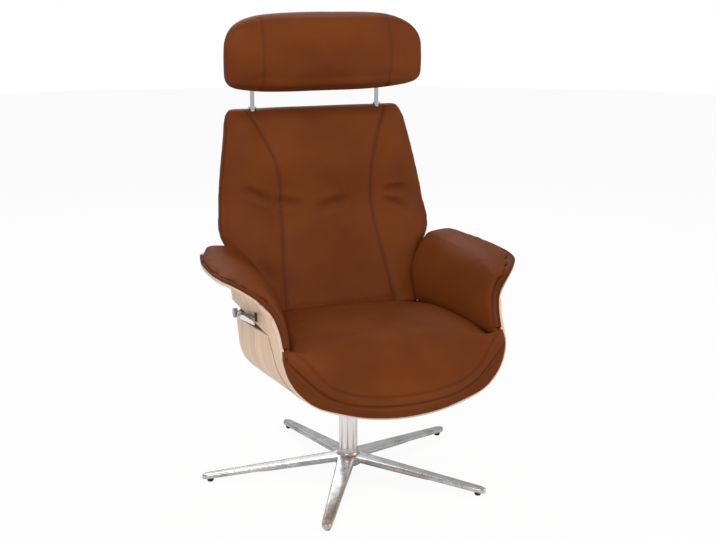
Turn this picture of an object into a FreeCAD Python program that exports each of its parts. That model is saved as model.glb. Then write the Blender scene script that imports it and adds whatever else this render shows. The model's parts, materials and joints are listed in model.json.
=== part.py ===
import FreeCAD, Part

import math
import os

import Sketcher
from FreeCAD import Placement, Rotation, Vector

# Star base swivel recliner, in millimetres.
# +Z is up, -Y is the front, +X is the sitter's left.
# The origin lies on the floor, at the middle of the chair's footprint.
# All sub-parts are drawn about the swivel axis and then set back by axis_setback.

SIZES = {
    # Star base
    "axis_setback": 15,
    "base_radius": 345,
    "leg_count": 5,
    "first_leg_angle": 171.3,
    "leg_root_width": 43,
    "leg_tip_width": 23,
    "leg_edge_chamfer": 2.5,
    "leg_thickness": 9,
    "leg_root_start": 22,
    "hub_top": 47,
    "hub_bottom": 20,
    "hub_radius": 31,
    "leg_tip_underside": 7,
    "leg_tip_thickness": 11,
    "rib_length": 210,
    "rib_root_width": 15,
    "rib_tip_width": 8,
    "rib_root_depth": 11,
    "rib_tip_depth": 3,
    "rib_overlap": 1,
    "glide_circle": 326,
    "glide_radius": 7.5,
    "glide_foot": 6,
    # Column and swivel
    "column_radius": 21.5,
    "column_bore": 18.5,
    "fillet_reach": 6,
    "fillet_rise": 16,
    "column_bottom": 31,
    "column_top": 247,
    "hub_bore": 14,
    "bush_fit": 0.03,
    "spindle_radius": 12.5,
    "spindle_bottom": 45,
    "lower_bush_bottom": 51,
    "bush_length": 22,
    "washer_thickness": 2.6,
    "washer_radius": 25,
    "clip_thickness": 2,
    "clip_radius": 16,
    "groove_depth": 1.5,
    "clip_gap": 1,
    "flange_radius": 32,
    "flange_thickness": 7,
    "running_gap": 0.05,
    "face_gap": 0.3,
    # Swivel housing and tilt
    "sheet_steel": 5,
    "housing_half_width": 50,
    "housing_front": 100,
    "housing_rear": 64,
    "tilt_y": -60,
    "tilt_z": 291,
    "shaft_radius": 7,
    "shaft_half_length": 64,
    "ear_radius": 12,
    "ring_lip": 4,
    "side_gap": 1,
    "bush_proud": 0.5,
    "bush_wall": 2,
    "bracket_height": 309,
    "bracket_front": 170,
    "bracket_rear": 30,
    "bracket_half_width": 62,
    "bolt_radius": 3,
    "bolt_head_radius": 5.5,
    "bolt_head_height": 3.5,
    "bolt_edge": 2,
    # Seat frame
    "rail_half_length": 188,
    "rail_depth": 25,
    "rail_height": 16,
    "front_rail_y": -152,
    "rear_rail_y": -62,
    "rail_wall": 2,
    "board_thickness": 12,
    "board_front": 296,
    "board_rear": 28,
    "block_length": 44,
    "block_top": 330,
    "block_bottom": 296,
    "block_inner": 182,
    "block_width": 80,
    "notch_half_width": 26,
    "notch_front": 14,
    "notch_top": 388,
    # Plywood shells
    "ply": 8,
    "seat_half_width": 242,
    "corner_radius": 118,
    "bottom_crown_angle": 22,
    "corner_height": 403,
    "corner_height_at": -325,
    "bottom_slope": 0.117,
    "flare_radius": 106,
    "flare_height": 427,
    "flare_reach": 60,
    "section_front": -420,
    "section_rear": 230,
    "section_top": 640,
    "trim_bottom": 150,
    "trim_margin": 20,
    "front_bottom_y": -364,
    "front_bottom_z": 250,
    "front_knee_y": -322,
    "front_knee_z": 378,
    "front_bend_y": -301,
    "front_bend_z": 423,
    "front_shoulder_y": -246,
    "front_shoulder_z": 499,
    "arm_side_x": 256,
    "arm_side_y": -262,
    "arm_corner_x": 312,
    "arm_corner_y": -214,
    "arm_wide_x": 341,
    "arm_wide_y": -118,
    "arm_mid_x": 338,
    "arm_mid_y": 10,
    "arm_rear_x": 314,
    "arm_rear_y": 112,
    "arm_round_x": 308,
    "arm_round_y": 133,
    "arm_end_x": 284,
    "arm_end_y": 150,
    "back_lean": 0.42,
    "rear_cut_y": 100,
    "rear_cut_z": 440,
    "rear_corner_radius": 110,
    "rear_wall_y": 174,
    "slot_front_y": -217,
    "slot_z": 419,
    "slot_rear_y": 50,
    "slot_rear_z": 390,
    "seam_gap": 1.2,
    "panel_front_y": -258,
    "panel_front_z": 386,
    "panel_low_y": -296,
    "panel_low_z": 300,
    "column_hole": 44,
    "pad_bottom": 392,
    "pad_overreach": 6,
    "pad_swell": 3,
    "pad_edge_drop": 4,
    "pad_face_rise": 2,
    "pad_back_gap": 6,
    # Recline pivot
    "pivot_y": 30,
    "pivot_z": 405,
    "pivot_pin": 6,
    "bracket_plate": 5,
    "plate_front": 70,
    "plate_rear": 50,
    "plate_bottom": 372,
    "plate_top": 470,
    "plate_slope": 30,
    "plate_screw_margin": 12,
    "low_screw_step": 45,
    "high_screw_step": 60,
    "screw_head": 3,
    "pin_inner_reach": 7.5,
    "pin_outer_reach": 6,
    "disc_radius": 17,
    "disc_thickness": 2,
    "arm_boss": 18,
    "arm_tip_y": 122,
    "arm_tip_z": 474,
    "arm_tip_radius": 15,
    "arm_screw_low": 466,
    "arm_screw_high": 480,
    "arm_screw_reach": 14,
    "crossbar_y": 58,
    "crossbar_z": 378,
    "crossbar_radius": 10,
    "crossbar_eye": 4,
    "pivot_clearance": 25,
    "pivot_room_inner": 219,
    "room_front": 72,
    "room_rear": 160,
    "room_top": 497,
    "room_gap": 1,
    # Synchro link
    "link_low_y": 50,
    "link_low_z": 270,
    "link_high_y": 25,
    "link_high_z": 355,
    "link_eye": 7.6,
    "link_pin": 4,
    "link_half_thickness": 5,
    "open_pivot_clearance": 1.5,
    "fork_gap": 6,
    "fork_thickness": 5,
    "pin_end": 2,
    # Knob and lever
    "knob_radius": 10.5,
    "knob_length": 9,
    "knob_inner": 254,
    "knob_flutes": 18,
    "flute_radius": 0.9,
    "knob_cap": 6,
    "stud_radius": 4,
    "lever_y": -20,
    "lever_z": 413,
    "lever_stub": 5,
    "lever_hub": 8,
    "lever_inner": 257,
    "lever_outer": 264,
    "lever_tip_y": -143,
    "lever_tip_z": 428,
    "lever_tip_radius": 4,
    "lever_blade": 3,
    "handle_root_y": -34,
    "handle_root_z": 420,
    "handle_tip_y": -160,
    "handle_tip_z": 446,
    "handle_radius": 2.5,
    "grip_radius": 3,
    "grip_length": 19,
    # Seat cushion
    "seat_rear": 26,
    "seat_rear_top": 402,
    "seat_mid_y": -140,
    "seat_shoulder_y": -300,
    "seat_shoulder_drop": 8,
    "seat_roll_swell": 17.5,
    "seat_skin_gap": 0.5,
    "welt_inset": 5,
    "boxing": 27,
    "lip_inset": 6,
    "lip_depth": 62,
    "seat_overhang": 5,
    "edge_gap": 1,
    # Backrest
    "panel_low": 446,
    "panel_high": 828,
    "back_curve_low_y": 120,
    "back_curve_low_z": 446,
    "back_curve_mid_y": 212,
    "back_curve_mid_z": 640,
    "back_curve_high_y": 268,
    "back_curve_high_z": 846,
    "panel_thickness": 11,
    "cover_thickness": 8,
    "rear_taper": 14,
    "seam_depth": 5,
    "back_swell": 8,
    "back_edge_depth": 10,
    "panel_inset": 4,
    "cover_overlap": 12,
    "guide_radius": 7,
    "guide_bottom": 764,
    "collar_radius": 9.5,
    "collar_height": 3,
    # Headrest
    "rod_x": 155,
    "rod_y": 240,
    "rod_radius": 5,
    "rod_bottom": 770,
    "rod_top": 925,
    "core_front": 236,
    "core_thickness": 8,
    "core_half_width": 135,
    "core_bottom": 948,
    "core_top": 1030,
    "bar_end": 2,
    "bar_extra": 1,
    "clamp_x": 100,
    "clamp_width": 26,
    "clamp_radius": 12,
    "rod_pocket_half_width": 9,
    "rod_pocket_half_depth": 17,
    "rod_pocket_top": 933,
    "rod_pocket_height": 120,
}

# Seat cushion: distance from the middle, crown height, front edge, welt height.
SEAT_STATIONS = [
    (0, 426, -366, 290),
    (95, 424, -362, 297),
    (160, 417, -354, 318),
    (208, 408, -344, 358),
    (240, 399, -336, 388),
]

# Backrest cushion: height, half width, front at the edge, seam place across, front at the seam.
BACK_STATIONS = [
    (396, 200, 38, 132, 36),
    (428, 206, 60, 130, 58),
    (470, 215, 88, 125, 84),
    (512, 232, 114, 120, 107),
    (550, 253, 136, 116, 127),
    (598, 257, 162, 112, 150),
    (652, 251, 176, 111, 159),
    (721, 239, 190, 120, 167),
    (788, 227, 210, 146, 200),
    (828, 217, 234, 168, 220),
    (839, 206, 246, 172, 236),
]

# Arm pad: place along the arm, inner face at the bottom, at mid height, and its top edge.
ARM_STATIONS = [
    (-330, 238, 239, 240, 446),
    (-262, 220, 226, 250, 506),
    (-170, 204, 212, 257, 533),
    (-60, 188, 199, 256, 540),
    (50, 174, 190, 253, 541),
    (160, 168, 184, 249, 541),
]

# Headrest: distance from the middle, front and rear faces, underside and top.
HEAD_STATIONS = [
    (0, 127, 257, 883, 1061),
    (100, 129, 257, 883, 1061),
    (157, 135, 252, 886, 1057),
    (200, 137, 232, 889, 1044),
    (227, 142, 202, 897, 1022),
    (239, 150, 180, 914, 994),
]

document = FreeCAD.newDocument("SwivelRecliner")
sheet = document.addObject("Spreadsheet::Sheet", "Sizes")


def fill_sheet():
    """Write every driving size into the sheet as a plain number with an alias."""
    stations = {}
    groups = (
        ("seat", SEAT_STATIONS, ("across", "crown", "front", "welt")),
        ("back", BACK_STATIONS, ("level", "half", "edge", "seam", "inset")),
        ("arm", ARM_STATIONS, ("along", "low", "middle", "upper", "height")),
        ("head", HEAD_STATIONS, ("across", "front", "rear", "low", "high")),
    )
    for group, rows, words in groups:
        for number, row in enumerate(rows, 1):
            for word, value in zip(words, row):
                stations[f"{group}_{word}_{number}"] = value
    for line, (alias, value) in enumerate({**SIZES, **stations}.items(), 1):
        sheet.set(f"A{line}", alias)
        sheet.set(f"B{line}", str(value))
        sheet.setAlias(f"B{line}", alias)
    document.recompute()


def size(alias):
    """One driving size, read from the sheet."""
    return float(sheet.get(alias))


def station(group, words, number):
    """The sizes of one numbered section, read from the sheet."""
    return [size(f"{group}_{word}_{number}") for word in words]


def value_of(expression):
    """The present value of an expression on the sheet."""
    return float(sheet.evalExpression(expression))


def named(expression):
    """Let an expression name the sheet's aliases without their prefix."""
    words = []
    for word in expression.replace("(", "( ").replace(")", " )").split():
        words.append("Sizes." + word if word[0].isalpha() else word)
    return " ".join(words)


def set_back(part):
    """Put a sub-part on the swivel axis."""
    part.Placement = Placement(Vector(0, size("axis_setback"), 0), part.Placement.Rotation)
    part.setExpression("Placement.Base.y", "Sizes.axis_setback")


def feature(label, shape):
    """A sub-part whose shape is made from arcs and lofts."""
    part = document.addObject("Part::Feature", label)
    part.Label = label
    part.Shape = shape
    set_back(part)
    return part


# Sketches with their corners bound to the sheet


def plane_of(body, role):
    """One of a body's own origin planes."""
    return next(item for item in body.Origin.OriginFeatures if item.Role == role)


def new_body(label):
    body = document.addObject("PartDesign::Body", label)
    body.Label = label
    return body


def new_sketch(body, role, name, offset="0"):
    """A sketch on an origin plane, moved along the plane's normal by an expression."""
    sketch = body.newObject("Sketcher::SketchObject", name)
    sketch.AttachmentSupport = [(plane_of(body, role), "")]
    sketch.MapMode = "FlatFace"
    sketch.setExpression("AttachmentOffset.Base.z", named(offset))
    return sketch


def bind_point(sketch, geometry, point, across, up):
    """Fix a sketch point at two expressions measured from the sketch's origin."""
    axes = (("DistanceX", across, -2), ("DistanceY", up, -1))
    for kind, expression, axis in axes:
        amount = value_of(named(expression))
        if abs(amount) < 1e-9:
            sketch.addConstraint(Sketcher.Constraint("PointOnObject", geometry, point, axis))
            continue
        index = sketch.addConstraint(
            Sketcher.Constraint(kind, -1, 1, geometry, point, amount)
        )
        sketch.setExpression(f"Constraints[{index}]", named(expression))


def draw_outline(sketch, corners):
    """A closed outline of straight lines through corners given as expressions."""
    places = [Vector(value_of(named(a)), value_of(named(b)), 0) for a, b in corners]
    first = sketch.GeometryCount
    count = len(places)
    for index in range(count):
        line = Part.LineSegment(places[index], places[(index + 1) % count])
        sketch.addGeometry(line, False)
    for index in range(count):
        following = first + (index + 1) % count
        sketch.addConstraint(Sketcher.Constraint("Coincident", first + index, 2, following, 1))
    for index, (across, up) in enumerate(corners):
        bind_point(sketch, first + index, 1, across, up)


def draw_circle(sketch, across, up, radius):
    """A circle with its centre and radius given as expressions."""
    centre = Vector(value_of(named(across)), value_of(named(up)), 0)
    circle = Part.Circle(centre, Vector(0, 0, 1), value_of(named(radius)))
    index = sketch.addGeometry(circle, False)
    bind_point(sketch, index, 3, across, up)
    bound = sketch.addConstraint(
        Sketcher.Constraint("Radius", index, value_of(named(radius)))
    )
    sketch.setExpression(f"Constraints[{bound}]", named(radius))


def rectangle(left, right, low, high):
    return [(left, low), (right, low), (right, high), (left, high)]


def pad(body, sketch, length, name, middle=False):
    """A pad along the sketch's normal, or to both sides of it."""
    made = body.newObject("PartDesign::Pad", name)
    made.Profile = sketch
    made.setExpression("Length", named(length))
    made.Midplane = middle
    return made


def revolve(body, sketch, name):
    """A full turn about the sketch's vertical axis."""
    made = body.newObject("PartDesign::Revolution", name)
    made.Profile = sketch
    made.ReferenceAxis = (sketch, ["V_Axis"])
    made.Angle = 360
    return made


def bound_cylinder(name, radius, length, x="0", y="0", z="0", along="Z"):
    """A cylinder along X or Z that starts at a place given by expressions."""
    tube = document.addObject("Part::Cylinder", name)
    tube.setExpression("Radius", named(radius))
    tube.setExpression("Height", named(length))
    if along == "X":
        tube.Placement = Placement(Vector(), Rotation(Vector(0, 1, 0), 90))
    for axis, expression in zip("xyz", (x, y, z)):
        tube.setExpression(f"Placement.Base.{axis}", named(expression))
    return tube


def cut(label, base, tool):
    made = document.addObject("Part::Cut", label)
    made.Label = label
    made.Base = base
    made.Tool = tool
    return made


def joined(label, pieces):
    """Separate solids of one kind that share a node."""
    made = document.addObject("Part::Compound", label)
    made.Label = label
    made.Links = pieces
    return made


# Shapes from lines and arcs


def through(first, middle, last):
    return Part.Arc(first, middle, last).toShape()


def line(first, last):
    return Part.LineSegment(first, last).toShape()


def polygon(points):
    return Part.makePolygon(points + [points[0]])


def across_face(points, half_width):
    """A solid from a side outline in Y and Z, as wide as given to both sides of the middle."""
    outline = polygon([Vector(-half_width, y, z) for y, z in points])
    return Part.Face(outline).extrude(Vector(2 * half_width, 0, 0))


def rod(start, end, radius):
    """A round bar between two points."""
    axis = end - start
    return Part.makeCylinder(radius, axis.Length, start, axis)


def hull_plate(first, first_radius, second, second_radius, x, thickness):
    """A flat plate with two round ends in the Y-Z plane, from x outwards by thickness."""
    gap = math.hypot(second[0] - first[0], second[1] - first[1])
    heading = math.atan2(second[1] - first[1], second[0] - first[0])
    spread = math.acos((first_radius - second_radius) / gap)

    def on_rim(centre, radius, angle):
        return Vector(x, centre[0] + radius * math.cos(angle), centre[1] + radius * math.sin(angle))

    left, right = heading + spread, heading - spread
    edges = [
        line(on_rim(first, first_radius, right), on_rim(second, second_radius, right)),
        through(
            on_rim(second, second_radius, right),
            on_rim(second, second_radius, heading),
            on_rim(second, second_radius, left),
        ),
        line(on_rim(second, second_radius, left), on_rim(first, first_radius, left)),
        through(
            on_rim(first, first_radius, left),
            on_rim(first, first_radius, heading + math.pi),
            on_rim(first, first_radius, right),
        ),
    ]
    return Part.Face(Part.Wire(edges)).extrude(Vector(thickness, 0, 0))


def x_hole(y, z, radius, start, end):
    return rod(Vector(start, y, z), Vector(end, y, z), radius)


# Star base, column and swivel


def make_star_base():
    body = new_body("star_base")
    hub = new_sketch(body, "XZ_Plane", "HubProfile")
    draw_outline(
        hub,
        [
            ("hub_bore", "hub_bottom"),
            ("hub_radius", "hub_bottom"),
            ("hub_radius", "hub_top - leg_thickness"),
            ("column_radius + fillet_reach", "hub_top"),
            ("column_radius + fillet_reach / 3", "hub_top + fillet_rise / 2"),
            ("column_radius", "hub_top + fillet_rise"),
            ("column_radius", "column_bottom"),
            ("hub_bore", "column_bottom"),
        ],
    )
    revolve(body, hub, "Hub")

    def leg_section(name, reach, width, top, thickness):
        sketch = new_sketch(body, "YZ_Plane", name, reach)
        half = f"{width} / 2"
        shoulder = f"{top} - leg_edge_chamfer"
        draw_outline(
            sketch,
            [
                (f"0 - {half}", f"{top} - {thickness}"),
                (half, f"{top} - {thickness}"),
                (half, shoulder),
                (f"{half} - leg_edge_chamfer", top),
                (f"0 - {half} + leg_edge_chamfer", top),
                (f"0 - {half}", shoulder),
            ],
        )
        return sketch

    def loft(name, first, last):
        made = body.newObject("PartDesign::AdditiveLoft", name)
        made.Profile = first
        made.Sections = [last]
        made.Ruled = True
        return made

    tip_reach = "( base_radius - leg_tip_width / 2 )"
    tip_top = "( leg_tip_underside + leg_tip_thickness )"
    root = leg_section("LegRoot", "leg_root_start", "leg_root_width", "hub_top", "leg_thickness")
    tip = leg_section("LegTip", tip_reach, "leg_tip_width", tip_top, "leg_tip_thickness")
    leg = loft("Leg", root, tip)

    round_end = new_sketch(body, "XY_Plane", "TipRound", "leg_tip_underside")
    draw_circle(round_end, tip_reach, "0", "leg_tip_width / 2")
    tip_pad = pad(body, round_end, "leg_tip_thickness", "Tip")

    def rib_section(name, reach, width, top, depth):
        sketch = new_sketch(body, "YZ_Plane", name, reach)
        half = f"{width} / 2"
        draw_outline(sketch, rectangle(f"0 - {half}", half, f"{top} - {depth}", top))
        return sketch

    fall = "( hub_top - leg_tip_underside - leg_thickness )"
    run = "( base_radius - leg_tip_width / 2 - leg_root_start )"
    rib_top = "( hub_top - leg_thickness + rib_overlap )"
    rib_end = f"( hub_top - leg_thickness + rib_overlap - {fall} * rib_length / {run} )"
    rib_root = rib_section("RibRoot", "leg_root_start", "rib_root_width", rib_top, "rib_root_depth")
    rib_tip = rib_section(
        "RibTip", "( leg_root_start + rib_length )", "rib_tip_width", rib_end, "rib_tip_depth"
    )
    rib = loft("Rib", rib_root, rib_tip)

    legs = body.newObject("PartDesign::PolarPattern", "Legs")
    legs.Originals = [leg, tip_pad, rib]
    legs.Axis = (hub, ["V_Axis"])
    legs.Angle = 360
    legs.Occurrences = int(size("leg_count"))
    body.Tip = legs
    body.Placement = Placement(Vector(), Rotation(Vector(0, 0, 1), size("first_leg_angle")))
    set_back(body)
    return body


def make_glides():
    """Five round feet under the leg tips."""
    feet = []
    for number in range(int(size("leg_count"))):
        angle = math.radians(size("first_leg_angle") + 360 / size("leg_count") * number)
        centre = Vector(math.cos(angle), math.sin(angle), 0) * size("glide_circle")
        top = size("leg_tip_underside")
        taper = Part.makeCone(
            size("glide_foot"), size("glide_radius"), top / 3, centre, Vector(0, 0, 1)
        )
        upper = Part.makeCylinder(size("glide_radius"), top * 2 / 3, centre + Vector(0, 0, top / 3))
        feet.append(taper.fuse(upper).removeSplitter())
    return feature("glides", Part.makeCompound(feet))


def make_column():
    tube = bound_cylinder(
        "ColumnOuter", "column_radius", "column_top - column_bottom", z="column_bottom"
    )
    bore = bound_cylinder(
        "ColumnBore", "column_bore", "column_top - column_bottom", z="column_bottom"
    )
    set_back(cut("column_tube", tube, bore))

    bushes = []
    starts = ("lower_bush_bottom", "column_top - bush_length")
    for number, start in enumerate(starts, 1):
        outer = bound_cylinder(
            f"BushOuter{number}", "column_bore - bush_fit", "bush_length", z=start
        )
        inner = bound_cylinder(
            f"BushBore{number}", "spindle_radius + running_gap", "bush_length", z=start
        )
        bushes.append(cut(f"Bush{number}", outer, inner))
    set_back(joined("column_bushes", bushes))

    washer = bound_cylinder("WasherOuter", "washer_radius", "washer_thickness", z="column_top")
    hole = bound_cylinder(
        "WasherBore", "spindle_radius + face_gap", "washer_thickness", z="column_top"
    )
    set_back(cut("thrust_washer", washer, hole))


def make_spindle():
    body = new_body("spindle")
    profile = new_sketch(body, "XZ_Plane", "SpindleProfile")
    groove_low = "( lower_bush_bottom - clip_thickness - clip_gap )"
    groove_high = "( lower_bush_bottom - clip_gap )"
    flange_low = "( column_top + washer_thickness + face_gap )"
    draw_outline(
        profile,
        [
            ("0", "spindle_bottom"),
            ("spindle_radius", "spindle_bottom"),
            ("spindle_radius", groove_low),
            ("spindle_radius - groove_depth", groove_low),
            ("spindle_radius - groove_depth", groove_high),
            ("spindle_radius", groove_high),
            ("spindle_radius", flange_low),
            ("flange_radius", flange_low),
            ("flange_radius", f"{flange_low} + flange_thickness"),
            ("0", f"{flange_low} + flange_thickness"),
        ],
    )
    revolve(body, profile, "Spindle")
    set_back(body)

    clip = bound_cylinder("ClipOuter", "clip_radius", "clip_thickness", z=groove_low)
    hole = bound_cylinder(
        "ClipBore", "spindle_radius - groove_depth", "clip_thickness", z=groove_low
    )
    set_back(cut("spindle_clip", clip, hole))


def housing_floor():
    """Height of the housing's underside, on top of the spindle's flange."""
    return (
        size("column_top") + size("washer_thickness") + size("face_gap") + size("flange_thickness")
    )


def make_housing():
    """A folded steel channel with the tilt shaft in its cheeks and lugs for the link."""
    low = housing_floor()
    steel = size("sheet_steel")
    half = size("housing_half_width")
    front, rear = -size("housing_front"), size("housing_rear")
    tilt_y, tilt_z = size("tilt_y"), size("tilt_z")
    floor = Part.makeBox(2 * half, rear - front, steel, Vector(-half, front, low))
    cheek = [
        (front, low),
        (rear, low),
        (rear, low + 2 * steel),
        (tilt_y + size("ear_radius") + steel, tilt_z - steel),
        (tilt_y + size("ear_radius"), tilt_z + size("ear_radius")),
        (tilt_y - size("ear_radius"), tilt_z + size("ear_radius")),
        (front, tilt_z - size("ear_radius")),
    ]
    block = across_face(cheek, half).cut(
        Part.makeBox(
            2 * (half - steel), rear - front, tilt_z, Vector(-half + steel, front, low + steel)
        )
    )
    shape = floor.fuse(block)
    lug_y, lug_z = size("link_low_y"), size("link_low_z")
    for side in (-1, 1):
        start = side * size("fork_gap")
        thick = side * size("fork_thickness")
        shape = shape.fuse(
            hull_plate(
                (lug_y, low + steel),
                size("link_eye"),
                (lug_y, lug_z),
                size("link_eye"),
                start,
                thick,
            )
        )
    shape = shape.cut(x_hole(tilt_y, tilt_z, size("shaft_radius"), -2 * half, 2 * half))
    shape = shape.cut(x_hole(lug_y, lug_z, size("link_pin"), -half / 2, half / 2))
    for place in housing_bolt_places():
        shape = shape.cut(Part.makeCylinder(size("bolt_radius"), 2 * steel, place))
    below = Part.makeBox(4 * half, 4 * rear, low, Vector(-2 * half, -2 * rear, 0))
    feature("swivel_housing", shape.cut(below).removeSplitter())

    bolts = []
    for place in housing_bolt_places():
        head = Part.makeCylinder(
            size("bolt_head_radius"), size("bolt_head_height"), place + Vector(0, 0, steel)
        )
        bolts.append(head.fuse(Part.makeCylinder(size("bolt_radius"), steel, place)))
    feature("housing_bolts", Part.makeCompound(bolts))


def housing_bolt_places():
    """Four bolts into the spindle's flange."""
    circle = size("flange_radius") - size("bolt_head_radius") - size("bolt_edge")
    low = housing_floor()
    angles = [math.radians(45 + 90 * number) for number in range(4)]
    return [Vector(circle * math.cos(a), circle * math.sin(a), low) for a in angles]


def make_tilt_shaft():
    shaft = bound_cylinder(
        "tilt_shaft",
        "shaft_radius",
        "2 * shaft_half_length",
        x="0 - shaft_half_length",
        y="tilt_y",
        z="tilt_z",
        along="X",
    )
    shaft.Label = "tilt_shaft"
    shaft.setExpression("Placement.Base.y", "Sizes.tilt_y + Sizes.axis_setback")

    rings = []
    centre = (size("tilt_y"), size("tilt_z"))
    for side in (-1, 1):
        start = side * (size("shaft_half_length") - size("clip_thickness"))
        end = start - side * size("clip_thickness")
        ring = x_hole(*centre, size("shaft_radius") + size("ring_lip"), start, end)
        rings.append(ring.cut(x_hole(*centre, size("shaft_radius"), start, end)))
    feature("shaft_clips", Part.makeCompound(rings))


# Synchro link between the housing and the backrest


def make_link():
    low = (size("link_low_y"), size("link_low_z"))
    high = (size("link_high_y"), size("link_high_z"))
    eye = size("link_eye")
    half = size("link_half_thickness")
    bar = hull_plate(low, eye, high, eye, -half, 2 * half)
    bar = bar.cut(x_hole(*low, size("link_pin") + size("running_gap"), -2 * half, 2 * half))
    open_hole = size("link_pin") + size("open_pivot_clearance")
    bar = bar.cut(x_hole(*high, open_hole, -2 * half, 2 * half))
    feature("tilt_link", bar)
    reach = size("fork_gap") + size("fork_thickness") + size("pin_end")
    feature("lower_link_pin", x_hole(*low, size("link_pin"), -reach, reach))
    feature("upper_link_pin", x_hole(*high, size("link_pin"), -reach, reach))


def make_link_fork():
    """Two plates on the crossbar that carry the link's upper pin."""
    bar = (size("crossbar_y"), size("crossbar_z"))
    high = (size("link_high_y"), size("link_high_z"))
    plates = []
    for side in (-1, 1):
        plate = hull_plate(
            bar,
            size("crossbar_radius") + size("crossbar_eye"),
            high,
            size("link_eye"),
            side * size("fork_gap"),
            side * size("fork_thickness"),
        )
        reach = 4 * side * size("fork_gap")
        plate = plate.cut(x_hole(*bar, size("crossbar_radius"), 0, reach))
        plates.append(plate.cut(x_hole(*high, size("link_pin"), 0, reach)))
    feature("link_fork", Part.makeCompound(plates))


# Plywood shells


def corner_centre_height(y):
    return size("corner_height") - size("bottom_slope") * (y - size("corner_height_at"))


def shell_section(y, offset):
    """The open bowl's cross-section at one place, closed far above the arms."""
    half = size("seat_half_width") + offset
    radius = size("corner_radius") + offset
    centre_x = size("seat_half_width") - size("corner_radius")
    height = corner_centre_height(y)
    angle = math.radians(size("bottom_crown_angle"))
    flare_x = size("seat_half_width") + size("flare_radius")
    flare = size("flare_radius") - offset
    flare_z = size("flare_height")
    out_x = flare_x + size("flare_reach") - offset
    top = size("section_top") - offset
    join = Vector(centre_x + radius * math.sin(angle), y, height - radius * math.cos(angle))
    crown = size("corner_radius") + centre_x * math.tan(angle / 2) + offset

    def corner(share):
        turn = angle + (math.pi / 2 - angle) * share
        return Vector(centre_x + radius * math.sin(turn), y, height - radius * math.cos(turn))

    def rim(share):
        turn = math.pi / 2 * share
        return Vector(flare_x - flare * math.cos(turn), y, flare_z + flare * math.sin(turn))

    right = [
        (corner(0), corner(0.5), corner(1)),
        (corner(1), Vector(half, y, flare_z)),
        (rim(0), rim(0.5), rim(1)),
        (rim(1), Vector(out_x, y, flare_z + flare)),
        (Vector(out_x, y, flare_z + flare), Vector(out_x, y, top)),
    ]

    def mirrored(point):
        return Vector(-point.x, point.y, point.z)

    def edge(points):
        return through(*points) if len(points) == 3 else line(*points)

    left = [[mirrored(point) for point in reversed(points)] for points in reversed(right)]
    bottom = (mirrored(join), Vector(0, y, height - crown), join)
    lid = (Vector(out_x, y, top), Vector(-out_x, y, top))
    return Part.Wire([edge(points) for points in [bottom, *right, lid, *left]])


def bowl(offset):
    """Everything inside the bowl's surface, moved outwards by an offset."""
    sections = [shell_section(size(key), offset) for key in ("section_front", "section_rear")]
    return Part.makeLoft(sections, True, True)


def lean_prism(points_and_arcs):
    """A prism that leans back with the backrest, from an outline at rear_cut_z."""
    base = size("rear_cut_z")
    lean = size("back_lean")
    low, high = size("trim_bottom"), size("section_top") + size("trim_margin")
    face = Part.Face(Part.Wire(points_and_arcs))
    face.translate(Vector(0, lean * (low - base), low))
    return face.extrude(Vector(0, lean * (high - low), high - low))


def rear_prism(inset):
    """Outline of the lower rear bowl seen from above, with two round rear corners."""
    half = size("seat_half_width") + size("ply") - inset
    radius = size("rear_corner_radius") - inset
    rear = size("rear_wall_y") - inset
    front = 2 * size("section_front")
    middle = radius * math.sqrt(0.5)
    cx, cy = half - radius, rear - radius
    edges = [
        line(Vector(-half, front, 0), Vector(half, front, 0)),
        line(Vector(half, front, 0), Vector(half, cy, 0)),
        through(Vector(half, cy, 0), Vector(cx + middle, cy + middle, 0), Vector(cx, rear, 0)),
        line(Vector(cx, rear, 0), Vector(-cx, rear, 0)),
        through(Vector(-cx, rear, 0), Vector(-cx - middle, cy + middle, 0), Vector(-half, cy, 0)),
        line(Vector(-half, cy, 0), Vector(-half, front, 0)),
    ]
    return lean_prism(edges)


def arm_front_prism(gap=0):
    """Everything in front of the arms' slanting rear ends."""
    wide = 2 * size("arm_wide_x")
    rear = size("rear_cut_y") - gap
    front = 2 * size("section_front")
    corners = [
        Vector(-wide, front, 0),
        Vector(wide, front, 0),
        Vector(wide, rear, 0),
        Vector(-wide, rear, 0),
    ]
    return lean_prism(polygon(corners).Edges)


def front_trim(inset=0):
    """Side view of the front edge: a leaning lip, a bend and the rise to the arm."""
    half = 2 * size("arm_wide_x")
    rear = size("section_rear") + size("trim_margin")
    top = size("section_top") + size("trim_margin")

    def place(word):
        return Vector(-half, size(f"front_{word}_y") + inset, size(f"front_{word}_z"))

    bottom, knee, bend, shoulder = [place(w) for w in ("bottom", "knee", "bend", "shoulder")]
    edges = [
        line(Vector(-half, rear, bottom.z), bottom),
        line(bottom, knee),
        through(knee, bend, shoulder),
        line(shoulder, Vector(-half, shoulder.y, top)),
        line(Vector(-half, shoulder.y, top), Vector(-half, rear, top)),
        line(Vector(-half, rear, top), Vector(-half, rear, bottom.z)),
    ]
    return Part.Face(Part.Wire(edges)).extrude(Vector(2 * half, 0, 0))


def plan_trim(inset=0):
    """Plan view of the arms: round tips and long gently curved outer edges."""
    front = size("section_front") - size("trim_margin")
    top = size("section_top") + size("trim_margin")

    def place(word, side):
        return Vector(side * (size(f"arm_{word}_x") - inset), size(f"arm_{word}_y"), 0)

    def half(side):
        flank = place("side", side)
        wide = place("wide", side)
        return [
            line(Vector(0, front, 0), Vector(flank.x, front, 0)),
            line(Vector(flank.x, front, 0), flank),
            through(flank, place("corner", side), wide),
            through(wide, place("mid", side), place("rear", side)),
            through(place("rear", side), place("round", side), place("end", side)),
            line(place("end", side), Vector(0, size("arm_end_y"), 0)),
        ]

    outline = Part.Wire(Part.__sortEdges__(half(1) + half(-1)))
    return Part.Face(outline).extrude(Vector(0, 0, top))


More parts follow.
